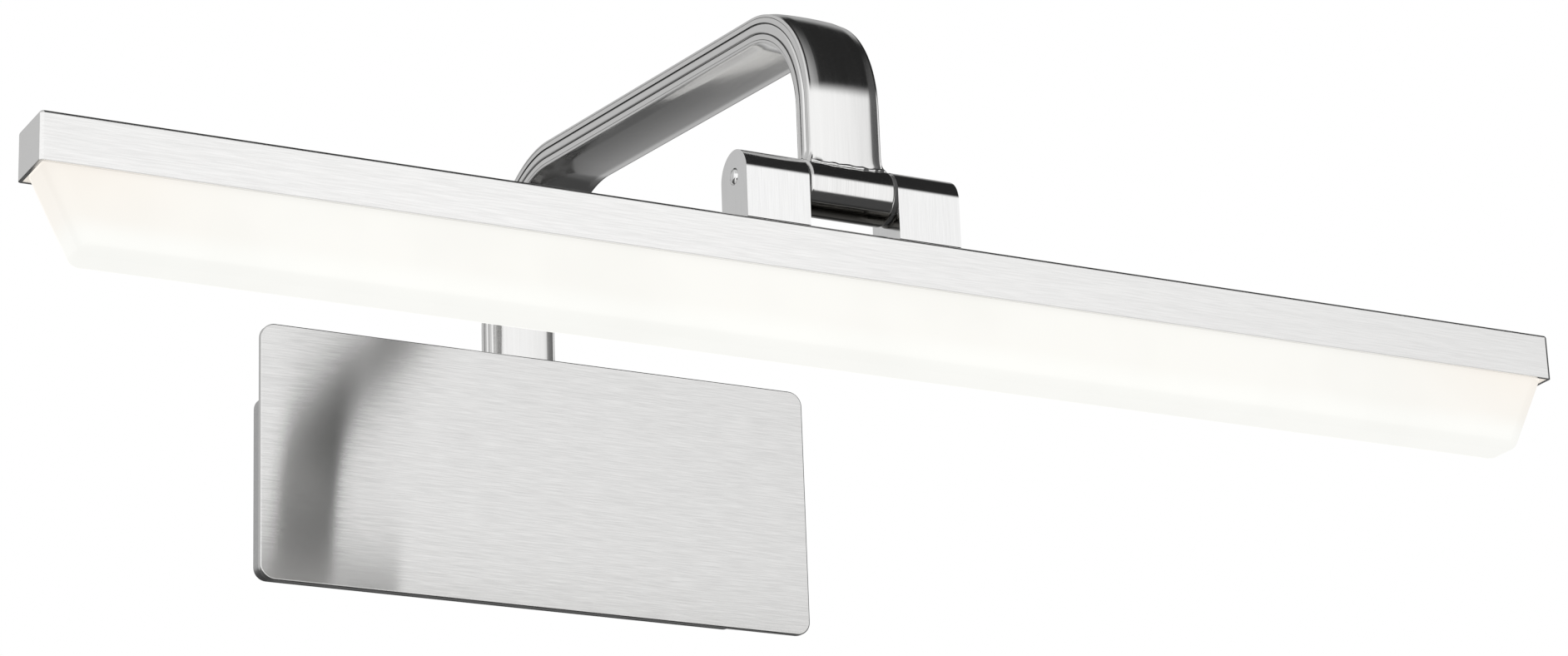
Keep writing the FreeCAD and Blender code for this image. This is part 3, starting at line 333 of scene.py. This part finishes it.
def moulded_plastic(name, color, roughness=0.45):
    """Injection-moulded plastic with a fine spark-eroded skin."""
    skin_depth, spread = 8e-6, 0.08
    material, tree, shader = start_material(name)
    skin = stretched_noise(tree, (2500, 2500, 2500), detail=2.0)
    cloud = stretched_noise(tree, (60, 60, 60), detail=2.0)
    connect(
        tree,
        shader,
        Base_Color=mix_colors(tree, noise_ramp(tree, cloud), scaled(color, 0.85), color),
        Roughness=noise_ramp(tree, skin, roughness - spread, roughness + spread),
        Normal=bump(tree, skin, skin_depth),
    )
    return material


# The diffuser is creamier within this much of each end, and whiter at its foot.
CREAM_END = 60 * MM
FOOT_FADE_START, FOOT_FADE_END = 9 * MM, 3 * MM
GLOW_WHITE, GLOW_CREAM = (1.0, 0.99, 0.955, 1.0), (1.0, 0.94, 0.87, 1.0)
GLOW_FOOT = (1.03, 1.03, 1.0, 1.0)
CREAM_ALL_OVER = 0.3


def opal_plastic(name, low, high):
    """A glowing opal acrylic: even in the middle, creamier towards its ends and its rim."""
    skin_depth = 3e-6
    material, tree, shader = start_material(name, Roughness=0.32, IOR=1.49, Emission_Strength=0.83)
    x, _, z = local_place(tree)
    end = ramp(tree, math_node(tree, "ABSOLUTE", x), high.x - CREAM_END, high.x)
    rim = ramp(tree, z, low.z, high.z)
    by_height = math_node(tree, "ADD", math_node(tree, "MULTIPLY", rim, 1 - CREAM_ALL_OVER), CREAM_ALL_OVER)
    glow = mix_colors(tree, math_node(tree, "MULTIPLY", end, by_height), GLOW_WHITE, GLOW_CREAM)
    foot = ramp(tree, z, low.z + FOOT_FADE_START, low.z + FOOT_FADE_END)
    cloud = stretched_noise(tree, (40, 40, 40), detail=2.0)
    body_dark, body_light = (0.1, 0.1, 0.09, 1.0), (0.13, 0.13, 0.12, 1.0)
    connect(
        tree,
        shader,
        Base_Color=mix_colors(tree, noise_ramp(tree, cloud), body_dark, body_light),
        Emission_Color=mix_colors(tree, foot, glow, GLOW_FOOT),
        Normal=bump(tree, stretched_noise(tree, (900, 900, 900)), skin_depth),
    )
    return material


# Where the painted shade on the barrel's underside starts and is full, as parts of the barrel's height.
UNDERSIDE_SHADE_START, UNDERSIDE_SHADE_FULL = 0.17, 0.11

# Direction of a grain along the head, and of one up the hinge blocks.
ALONG_X = (1.0, 0.02, 0.02)
ALONG_Z = (0.02, 0.02, 1.0)


def make_nickels():
    """The brushed, polished and turned nickel finishes."""
    barrel_low, barrel_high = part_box("hinge_barrel")
    barrel_height = barrel_high.z - barrel_low.z
    along_head = {"grain": ALONG_X, "fine": (110, 3600, 3600), "coarse": (18, 700, 700)}
    return {
        # This finish darkens its edges well below its tint: a painted shade along the head tray's edges.
        "brushed_nickel": brushed_metal(
            "brushed_nickel", grey(0.95, 0.004), **along_head, roughness=0.16, anisotropy=1.0,
            contrast=0.05, edge_width=0.45 * MM, edge_wear_and_shade=0.35
        ),
        "plate_nickel": brushed_metal(
            "plate_nickel", grey(0.78, 0.004), **along_head, roughness=0.125, anisotropy=1.0, contrast=0.14
        ),
        "block_nickel": brushed_metal(
            "block_nickel", grey(0.92, 0.001), grain=ALONG_Z, fine=(3300, 3300, 120),
            coarse=(600, 600, 30), roughness=0.12, anisotropy=0.8, contrast=0.05
        ),
        "satin_nickel": polished_metal("satin_nickel", grey(0.84, 0.004), 0.14),
        "pin_nickel": polished_metal("pin_nickel", grey(0.95), 0.05),
        # The barrel's underside is darkened by painted shade.
        "barrel_nickel": turned_metal(
            "barrel_nickel", grey(0.9, 0.004), 0.1,
            shade_start_z=barrel_low.z + barrel_height * UNDERSIDE_SHADE_START, shade_full_z=barrel_low.z + barrel_height * UNDERSIDE_SHADE_FULL
        ),
        "arm_nickel": polished_tube("arm_nickel", grey(0.86, 0.004), 0.13),
    }


def make_looks():
    """The nickel finishes, and one finish for each other material slot of the record."""
    diffuser_low, diffuser_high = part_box("diffuser")
    return {
        **make_nickels(),
        "housing_steel": brushed_metal(
            "housing_steel", grey(0.63), ALONG_X,
            fine=(200, 2600, 2600), coarse=(40, 400, 400), roughness=0.38
        ),
        "bar_aluminium": brushed_metal(
            "bar_aluminium", grey(0.78), ALONG_X,
            fine=(150, 2800, 2800), coarse=(30, 450, 450), roughness=0.4
        ),
        "zinc_steel": polished_metal("zinc_steel", grey(0.72, -0.01), 0.3),
        "spring_steel": polished_metal("spring_steel", grey(0.6), 0.25),
        "brass": polished_metal("brass", (0.83, 0.62, 0.27, 1.0), 0.25),
        "black_rubber": moulded_plastic("black_rubber", grey(0.02), 0.7),
        "white_plastic": moulded_plastic("white_plastic", grey(0.8, 0.01)),
        "grey_plastic": moulded_plastic("grey_plastic", grey(0.1)),
        "board_green": moulded_plastic("board_green", (0.02, 0.16, 0.06, 1.0), 0.35),
        "board_white": moulded_plastic("board_white", grey(0.82), 0.35),
        "component_dark": moulded_plastic("component_dark", grey(0.05), 0.4),
        "chip_yellow": moulded_plastic("chip_yellow", (0.9, 0.68, 0.12, 1.0), 0.3),
        "lead_sheath": moulded_plastic("lead_sheath", grey(0.75), 0.5),
        "opal": opal_plastic("opal", diffuser_low, diffuser_high),
    }


def dress_cad_nodes(looks):
    """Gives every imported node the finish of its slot."""
    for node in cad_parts.values():
        slot = node.material_slots[0]
        slot.material = looks[slot.material.name.split(".")[0]]
    for name in ("left_hinge_block", "right_hinge_block"):
        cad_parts[name].material_slots[0].material = looks["block_nickel"]
    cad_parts["front_cover"].material_slots[0].material = looks["plate_nickel"]
    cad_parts["hinge_barrel"].material_slots[0].material = looks["barrel_nickel"]


# ------------------------------------------------------------- the arm's visible skin

# The arm's bends, as in the CAD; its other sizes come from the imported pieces.
ARM_SLOPE = math.radians(5.9)
ARM_ROOT_BEND = 37.2 * MM
ARM_FRONT_BEND = 28.8 * MM
ARM_WALL = 1.2 * MM
BEND_STEPS = 44
RUN_STEPS = 12
LEG_STEPS = 48

# The broad faces bow gently and fall away towards a corner; an almost upright facet leads from
# there down to a fine line.
BOW_HALF = 6.6 * MM
BOW_DROP = 0.22 * MM
FALL_START, FALL_END = math.radians(9.0), math.radians(13.0)
BROAD_STEPS = 8
CORNER_IN, CORNER_HEIGHT = 0.38 * MM, 3.58 * MM
CORNER_STEPS = 4
CORNER_REACH = 0.3
FINE_LINE_IN, FINE_LINE_PLACE = 0.2 * MM, 2.75 * MM
FINE_LINE_HALF, FINE_LINE_DEPTH = 0.09 * MM, 0.14 * MM
SIDE_IN = 0.12 * MM

# Each narrow side has a convex rib along its middle between two dark grooves.
RIB_HALF, RIB_RISE, RIB_PROUD = 1.12 * MM, 0.3 * MM, 0.08 * MM
RIB_STEPS = 5
RIB_TAPER, RIB_FOOT = 0.96, 0.05 * MM
GROOVE_HALF, GROOVE_DEPTH = 0.16 * MM, 0.45 * MM
GROOVE_BEVEL, GROOVE_MOUTH = 1.2, 0.1 * MM

# The foot of the arm flares out where its narrow sides meet the barrel, and ends inside it, at
# this part of the barrel's radius above the axis.
FLARE = 1.3 * MM
FLARE_RISE = 0.85 * MM
FOOT_IN_BARREL = 0.68


def new_piece(name, vertices, faces, material, body, sharp_degrees=32):
    """A mesh piece, smooth except along its sharp edges, that rides on a body."""
    mesh = bpy.data.meshes.new(name)
    mesh.from_pydata(vertices, [], faces)
    mesh.validate()
    mesh.polygons.foreach_set("use_smooth", [True] * len(mesh.polygons))
    mesh.set_sharp_from_angle(angle=math.radians(sharp_degrees))
    mesh.materials.append(material)
    piece = bpy.data.objects.new(name, mesh)
    bpy.context.scene.collection.objects.link(piece)
    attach(piece, body)
    return piece


class ArmShape:
    """Sizes of the arm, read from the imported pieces."""

    def __init__(self):
        low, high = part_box("arm_tube")
        rim_low, rim_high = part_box("arm_bush")
        barrel_low, barrel_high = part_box("hinge_barrel")
        self.half_width = (high.x - low.x) / 2
        self.half_thick = (rim_high.y - rim_low.y) / 2
        self.root_y = high.y - self.half_thick
        self.root_z = low.z
        self.pivot_y = (barrel_low.y + barrel_high.y) / 2
        self.pivot_z = (barrel_low.z + barrel_high.z) / 2
        self.barrel_radius = (barrel_high.z - barrel_low.z) / 2
        rise = ARM_ROOT_BEND * math.tan((math.pi / 2 + ARM_SLOPE) / 2)
        self.crown_z = high.z - ARM_ROOT_BEND - self.half_thick + rise

    def barrel_top(self, from_axis):
        """Height of the barrel's surface at a distance in front of or behind its axis."""
        return self.pivot_z + math.sqrt(max(0.0, self.barrel_radius**2 - from_axis**2))

    def path(self):
        """Points (y, z) of the centre line with the outward normal (y, z) of each, root to foot."""
        slope = ARM_SLOPE
        run = Vector((-math.cos(slope), -math.sin(slope)))
        crown = Vector((self.root_y, self.crown_z))
        shoulder = Vector((self.pivot_y, self.crown_z - (self.root_y - self.pivot_y) * math.tan(slope)))
        root_tangent = ARM_ROOT_BEND * math.tan((math.pi / 2 + slope) / 2)
        front_tangent = ARM_FRONT_BEND * math.tan((math.pi / 2 - slope) / 2)
        root_centre = crown + Vector((-ARM_ROOT_BEND, -root_tangent))
        front_centre = shoulder + Vector((ARM_FRONT_BEND, -front_tangent))
        leg_end = self.pivot_z + self.barrel_radius * FOOT_IN_BARREL
        stations = []

        def straight(start, end, normal, steps):
            for step in range(steps):
                stations.append((start.lerp(end, step / steps), normal))

        def bend(centre, radius, start, end):
            for step in range(BEND_STEPS):
                angle = start + (end - start) * step / BEND_STEPS
                normal = Vector((math.cos(angle), math.sin(angle)))
                stations.append((centre + normal * radius, normal))

        over = math.pi / 2 + slope
        above_run = Vector((-math.sin(slope), math.cos(slope)))
        root, root_top = Vector((self.root_y, self.root_z)), crown - Vector((0, root_tangent))
        straight(root, root_top, Vector((1, 0)), RUN_STEPS)
        bend(root_centre, ARM_ROOT_BEND, 0, over)
        straight(crown + run * root_tangent, shoulder - run * front_tangent, above_run, RUN_STEPS)
        bend(front_centre, ARM_FRONT_BEND, over, math.pi)
        leg_top = shoulder - Vector((0, front_tangent))
        leg_low = Vector((self.pivot_y, leg_end))
        straight(leg_top, leg_low, Vector((-1, 0)), LEG_STEPS)
        stations.append((leg_low, Vector((-1, 0))))
        return stations


def arm_quadrant(half_width, half_thick):
    """A quarter of the arm's outline from the middle of a broad face to the middle of a narrow
    side, as (across, outward, whether it lies in a groove)."""
    points = []
    for step in range(BROAD_STEPS + 1):
        part = step / BROAD_STEPS
        points.append((BOW_HALF * part, half_thick - BOW_DROP * part**2, False))
    corner_x = half_width - CORNER_IN
    stride = (corner_x - BOW_HALF) / BROAD_STEPS
    height = half_thick - BOW_DROP
    for step in range(1, BROAD_STEPS):
        height -= stride * math.tan(FALL_START + (FALL_END - FALL_START) * step / BROAD_STEPS)
        points.append((BOW_HALF + stride * step, height, False))
    start = Vector(points[-1][:2])
    corner = Vector((corner_x, CORNER_HEIGHT))
    facet = Vector((half_width - FINE_LINE_IN, FINE_LINE_PLACE + FINE_LINE_HALF))
    upper = corner.lerp(facet, CORNER_REACH)
    for step in range(1, CORNER_STEPS + 1):
        part = step / CORNER_STEPS
        bent = start.lerp(corner, part).lerp(corner.lerp(upper, part), part)
        points.append((bent.x, bent.y, False))
    groove_place = RIB_HALF + GROOVE_HALF
    side = half_width - SIDE_IN
    rib_top = half_width + RIB_PROUD
    points.append((facet.x, facet.y, False))
    points.append((facet.x - FINE_LINE_DEPTH, FINE_LINE_PLACE, True))
    points.append((facet.x, FINE_LINE_PLACE - FINE_LINE_HALF, False))
    points.append((side, groove_place + GROOVE_HALF * GROOVE_BEVEL, False))
    points.append((side - GROOVE_MOUTH, groove_place + GROOVE_HALF, True))
    points.append((half_width - GROOVE_DEPTH, groove_place + GROOVE_HALF / 2, True))
    points.append((half_width - GROOVE_DEPTH, groove_place - GROOVE_HALF / 2, True))
    points.append((rib_top - RIB_RISE - RIB_FOOT, RIB_HALF, True))
    for step in range(RIB_STEPS):
        part = 1 - step / RIB_STEPS
        points.append((rib_top - RIB_RISE * part**2, RIB_HALF * part * RIB_TAPER, False))
    return points


def arm_section(half_width, half_thick):
    """The arm's closed outline (across, outward), and whether each point lies in a groove."""
    upper = arm_quadrant(half_width, half_thick)
    lower = [(x, -y, groove) for x, y, groove in reversed(upper)]
    right = upper + [(half_width + RIB_PROUD, 0.0, False)] + lower
    left = [(-x, y, groove) for x, y, groove in reversed(right[1:-1])]
    whole = right + left
    return [(x, y) for x, y, _ in whole], [groove for _, _, groove in whole]


def unit_normals(outline):
    """Outward unit normal at each point of a closed clockwise outline."""
    normals = []
    for index in range(len(outline)):
        before, after = Vector(outline[index - 1]), Vector(outline[(index + 1) % len(outline)])
        side = after - before
        normals.append(Vector((-side.y, side.x)).normalized())
    return normals


def join_rings(rings, around, closed=False, start=0, flipped=False):
    """Faces between neighbouring rings of vertices, of which the first begins at vertex start.
    A closed run also joins its last ring to its first, and flipped turns every face over."""
    faces = []
    for ring in range(rings if closed else rings - 1):
        here, there = start + ring * around, start + (ring + 1) % rings * around
        for turn in range(around):
            after = (turn + 1) % around
            a, b = (here + turn, here + after), (there + turn, there + after)
            faces.append((a[0], a[1], b[1], b[0]) if flipped else (a[1], a[0], b[0], b[1]))
    return faces


def arm_rings(arm, outline, stations):
    """Vertices of the arm's outer skin, flared at the foot, and those of its bore."""
    shrink_x = (arm.half_width - ARM_WALL) / arm.half_width
    shrink_y = (arm.half_thick - ARM_WALL) / arm.half_thick
    normals = unit_normals(outline)
    outer, inner = [], []
    for centre, normal in stations:
        on_leg = normal.x < -0.999
        for (across, out), side in zip(outline, normals):
            flare = 0.0
            if on_leg:
                height = centre.y - arm.barrel_top(out)
                flare = FLARE * abs(side.x) * math.exp(-max(height, 0.0) / FLARE_RISE)
            x, y = across + side.x * flare, out + side.y * flare
            outer.append((x, centre.x + y * normal.x, centre.y + y * normal.y))
            x, y = across * shrink_x, out * shrink_y
            inner.append((x, centre.x + y * normal.x, centre.y + y * normal.y))
    return outer, inner


def map_grain(piece, outline, stations):
    """Lays the grain map on the arm: u goes round the outline, v along the sweep, in metres."""
    count = len(outline)
    around = [0.0]
    for index in range(1, count + 1):
        step = Vector(outline[index % count]) - Vector(outline[index - 1])
        around.append(around[-1] + step.length)
    lengths = [0.0]
    for index in range(1, len(stations)):
        lengths.append(lengths[-1] + (stations[index][0] - stations[index - 1][0]).length)
    mesh, skin_size = piece.data, count * len(stations)
    uv = mesh.uv_layers.new(name="grain")
    for polygon in mesh.polygons:
        corners = [mesh.loops[loop].vertex_index % skin_size for loop in polygon.loop_indices]
        places = [corner % count for corner in corners]
        wraps = max(places) == count - 1 and min(places) == 0
        for loop, corner, place in zip(polygon.loop_indices, corners, places):
            u = around[count if wraps and place == 0 else place]
            uv.data[loop].uv = (u, lengths[corner // count])


def make_arm(arm, material):
    """The arm as one hollow sweep, flared at its foot into the weld, with grain along its length."""
    outline, grooves = arm_section(arm.half_width, arm.half_thick)
    stations = arm.path()
    outer, inner = arm_rings(arm, outline, stations)
    count, bore = len(outline), len(outer)
    faces = join_rings(len(stations), count)
    faces += join_rings(len(stations), count, start=bore, flipped=True)
    last = bore - count
    for index in range(count):
        after = (index + 1) % count
        faces.append((index, after, bore + after, bore + index))
        faces.append((last + after, last + index, bore + last + index, bore + last + after))
    piece = new_piece("arm_skin", outer + inner, faces, material, "wall_unit")
    map_grain(piece, outline, stations)
    cavity = piece.data.attributes.new("cavity", "FLOAT", "POINT")
    cavity.data.foreach_set("value", [float(groove) for groove in grooves] * (len(stations) * 2))
    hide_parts("arm_tube")


# The weld bead around the foot of the arm: slow swells, and a finer ripple on top of them.
WELD_STEPS = 300
WELD_ROUND = 12
WELD_RADIUS = 0.6 * MM
WELD_OUT = 0.3 * MM
WELD_SMOOTHING = 6
SWELL_LENGTH, SWELL_PART, SWELL_RISE = 2.3 * MM, 0.35, 0.15 * MM
RIPPLE_LENGTH, RIPPLE_PART, RIPPLE_LAYER = 0.8 * MM, 0.12, 2 * MM


def even_outline(outline, steps, smoothing):
    """The same outline at evenly spaced points, with its grooves smoothed away."""
    corners = [Vector(point) for point in outline]
    sides = [(corners[(index + 1) % len(corners)] - corner).length for index, corner in enumerate(corners)]
    points, index, passed = [], 0, 0.0
    for step in range(steps):
        place = sum(sides) * step / steps
        while passed + sides[index] < place:
            passed += sides[index]
            index += 1
        part = (place - passed) / sides[index]
        points.append(corners[index].lerp(corners[(index + 1) % len(corners)], part))
    for _ in range(smoothing):
        points = [(points[i - 1] + points[i] + points[(i + 1) % steps]) / 3 for i in range(steps)]
    return points


def make_weld_bead(arm, material):
    """A slightly uneven bead, rubbed smooth, where the arm stands on the barrel."""
    points = even_outline(arm_section(arm.half_width, arm.half_thick)[0], WELD_STEPS, WELD_SMOOTHING)
    vertices = []
    for point, side in zip(points, unit_normals(points)):
        swell = noise.noise(Vector((point.x, point.y, 0)) / SWELL_LENGTH)
        ripple = noise.noise(Vector((point.x, point.y, RIPPLE_LAYER)) / RIPPLE_LENGTH)
        radius = WELD_RADIUS * (1 + SWELL_PART * swell + RIPPLE_PART * ripple)
        centre = point + side * WELD_OUT
        height = arm.barrel_top(centre.y) + SWELL_RISE * swell
        for turn in range(WELD_ROUND):
            angle = 2 * math.pi * turn / WELD_ROUND
            out = centre + side * radius * math.cos(angle)
            vertices.append((out.x, arm.pivot_y - out.y, height + radius * math.sin(angle)))
    faces = join_rings(WELD_STEPS, WELD_ROUND, closed=True, flipped=True)
    bead = new_piece("weld_bead", vertices, faces, material, "wall_unit", sharp_degrees=80)
    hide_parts("arm_weld")


# The pivot pin's end is a dome that stands a little out of its recess in the left block.
PIN_STEPS = 56
DOME_STEPS = 8
DOME_RISE = 0.95 * MM
DOME_EDGE = 0.12 * MM


def make_pivot_pin(arm, material):
    """A turned pin with a domed end, in place of the plain screw blank."""
    low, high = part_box("pivot_screw")
    radius = (high.z - low.z) / 2
    rim = radius - DOME_EDGE
    profile = [(high.x, radius), (low.x + DOME_EDGE, radius)]
    for step in range(DOME_STEPS):
        angle = math.pi / 2 * step / DOME_STEPS
        profile.append((low.x - DOME_RISE * math.sin(angle), rim * math.cos(angle)))
    vertices = []
    for x, from_axis in profile:
        for turn in range(PIN_STEPS):
            angle = 2 * math.pi * turn / PIN_STEPS
            y = arm.pivot_y - from_axis * math.cos(angle)
            vertices.append((x, y, arm.pivot_z + from_axis * math.sin(angle)))
    faces = join_rings(len(profile), PIN_STEPS, flipped=True)
    tip, end = len(vertices), len(vertices) + 1
    vertices += [(low.x - DOME_RISE, arm.pivot_y, arm.pivot_z), (high.x, arm.pivot_y, arm.pivot_z)]
    last = (len(profile) - 1) * PIN_STEPS
    for turn in range(PIN_STEPS):
        after = (turn + 1) % PIN_STEPS
        faces.append((last + turn, last + after, tip))
        faces.append((after, turn, end))
    pin = new_piece("pivot_pin", vertices, faces, material, "head")
    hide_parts("pivot_screw")


# ------------------------------------------------------------------ the studio


# Brightness of the tent's walls, each from its first value to its second across a soft edge.
FRONT_LEFT, FRONT_RIGHT = 1.05, 0.84
SIDE_LEFT, BACK_LEFT = 1.0, 0.55
BACK_LEFT_LOW = 0.12
BACK_RIGHT_FOOT, BACK_RIGHT_LOW, BACK_RIGHT_MIDDLE, BACK_RIGHT_HIGH = 0.11, 0.62, 0.13, 0.4
CEILING_LEFT, CEILING_RIGHT = 0.6, 0.02
FLOOR_DARK, RIGHT_DARK = 0.06, 0.09


def wall_zones(tree, x, y, z):
    """Brightness of the tent's front and back walls in a direction (x, y, z)."""
    front = ramp(tree, x, 0.36, 0.66, FRONT_LEFT, FRONT_RIGHT)
    back_left = ramp(tree, y, 0.36, 0.54, SIDE_LEFT, BACK_LEFT)
    back_left = pick(tree, ramp(tree, z, 0.1, -0.1), back_left, BACK_LEFT_LOW)
    back_right = ramp(tree, z, -0.3, 0.12, BACK_RIGHT_FOOT, BACK_RIGHT_LOW)
    back_right = pick(tree, ramp(tree, z, 0.2, 0.27), back_right, BACK_RIGHT_MIDDLE)
    back_right = pick(tree, ramp(tree, z, 0.37, 0.46), back_right, BACK_RIGHT_HIGH)
    back = pick(tree, ramp(tree, x, -0.25, 0.2), back_left, back_right)
    return pick(tree, ramp(tree, y, -0.3, 0.2), front, back)


def make_world():
    """A white tent whose ceiling, right side and floor are dark, as seen in the metal.

    The camera sees plain white, and matt surfaces are lit evenly. The numbers in the ramps are
    parts of a unit direction, between which one zone passes into the next.
    """
    world = bpy.data.worlds.new("studio")
    bpy.context.scene.world = world
    world.use_nodes = True
    world.cycles.sampling_method = "NONE"
    tree = world.node_tree
    direction = add_node(tree, "ShaderNodeTexCoord").outputs["Generated"]
    x, y, z = add_node(tree, "ShaderNodeSeparateXYZ", {0: direction}).outputs
    walls = wall_zones(tree, x, y, z)
    dark = ramp(tree, x, 0.0, 0.3, CEILING_LEFT, CEILING_RIGHT)
    back_slope = pick(tree, ramp(tree, z, 0.66, 0.8), walls, dark)
    ceiling = pick(tree, ramp(tree, y, 0.2, 0.48), dark, back_slope)
    lit = pick(tree, ramp(tree, z, 0.46, 0.63), walls, ceiling)
    lit = pick(tree, ramp(tree, z, -0.33, -0.45), lit, FLOOR_DARK)
    lit = pick(tree, ramp(tree, x, 0.6, 0.68), lit, RIGHT_DARK)
    path = add_node(tree, "ShaderNodeLightPath")
    seen = pick(tree, path.outputs["Is Glossy Ray"], MATT_LIGHT, lit)
    seen = pick(tree, path.outputs["Is Camera Ray"], seen, BACKDROP)
    tree.links.new(seen, tree.nodes["Background"].inputs["Strength"])
    tree.nodes["Background"].inputs["Color"].default_value = grey(1.0)


def make_key_light(centre):
    """One large softbox from the front left, for the shadows of matt surfaces."""
    data = bpy.data.lights.new("key_softbox", "AREA")
    data.shape = "RECTANGLE"
    data.size = SOFTBOX_WIDTH
    data.size_y = SOFTBOX_HEIGHT
    data.energy = SOFTBOX_WATTS
    light = bpy.data.objects.new("key_softbox", data)
    bpy.context.scene.collection.objects.link(light)
    light.location = centre + SOFTBOX_PLACE
    light.rotation_euler = (centre - light.location).to_track_quat("-Z", "Y").to_euler()
    light.visible_glossy = False


def make_floor():
    """A plain pale floor, far below the lamp."""
    mesh = bpy.data.meshes.new("studio_floor")
    half, height = FLOOR_SIZE / 2, CAD_LOW.z - FLOOR_DROP
    corners = [(x * half, y * half, height) for x, y in ((-1, -1), (1, -1), (1, 1), (-1, 1))]
    mesh.from_pydata(corners, [], [(0, 1, 2, 3)])
    floor = bpy.data.objects.new("studio_floor", mesh)
    bpy.context.scene.collection.objects.link(floor)
    material, tree, shader = start_material("floor_paint", Roughness=0.8)
    cloud = stretched_noise(tree, (3, 3, 3), detail=4.0)
    connect(tree, shader, Base_Color=mix_colors(tree, cloud, grey(0.84, 0.004), grey(0.9, 0.004)))
    mesh.materials.append(material)
    floor.visible_glossy = False


def make_camera():
    """The camera, aimed at a point just in front of the head's middle."""
    forward = Vector(
        (
            math.sin(VIEW_AZIMUTH) * math.cos(VIEW_ELEVATION),
            math.cos(VIEW_AZIMUTH) * math.cos(VIEW_ELEVATION),
            math.sin(VIEW_ELEVATION),
        )
    )
    level_right = Vector((math.cos(VIEW_AZIMUTH), -math.sin(VIEW_AZIMUTH), 0))
    level_up = level_right.cross(forward)
    right = math.cos(VIEW_ROLL) * level_right + math.sin(VIEW_ROLL) * level_up
    up = math.cos(VIEW_ROLL) * level_up - math.sin(VIEW_ROLL) * level_right
    aim = Vector((-AIM_LEFT_OF_MIDDLE, -AIM_FRONT, -AIM_BELOW_MIDDLE))
    data = bpy.data.cameras.new("camera")
    data.lens = LENS_MM
    data.sensor_width = SENSOR_MM
    camera = bpy.data.objects.new("camera", data)
    bpy.context.scene.collection.objects.link(camera)
    turn = Matrix((right, up, -forward)).transposed()
    camera.matrix_world = Matrix.Translation(aim - forward * VIEW_DISTANCE) @ turn.to_4x4()
    bpy.context.scene.camera = camera


LOOKS = make_looks()
dress_cad_nodes(LOOKS)
ARM = ArmShape()
make_arm(ARM, LOOKS["arm_nickel"])
make_weld_bead(ARM, LOOKS["satin_nickel"])
make_pivot_pin(ARM, LOOKS["pin_nickel"])
make_world()
make_key_light((CAD_LOW + CAD_HIGH) / 2)
make_floor()
make_camera()
bpy.context.scene.view_settings.view_transform = "Standard"
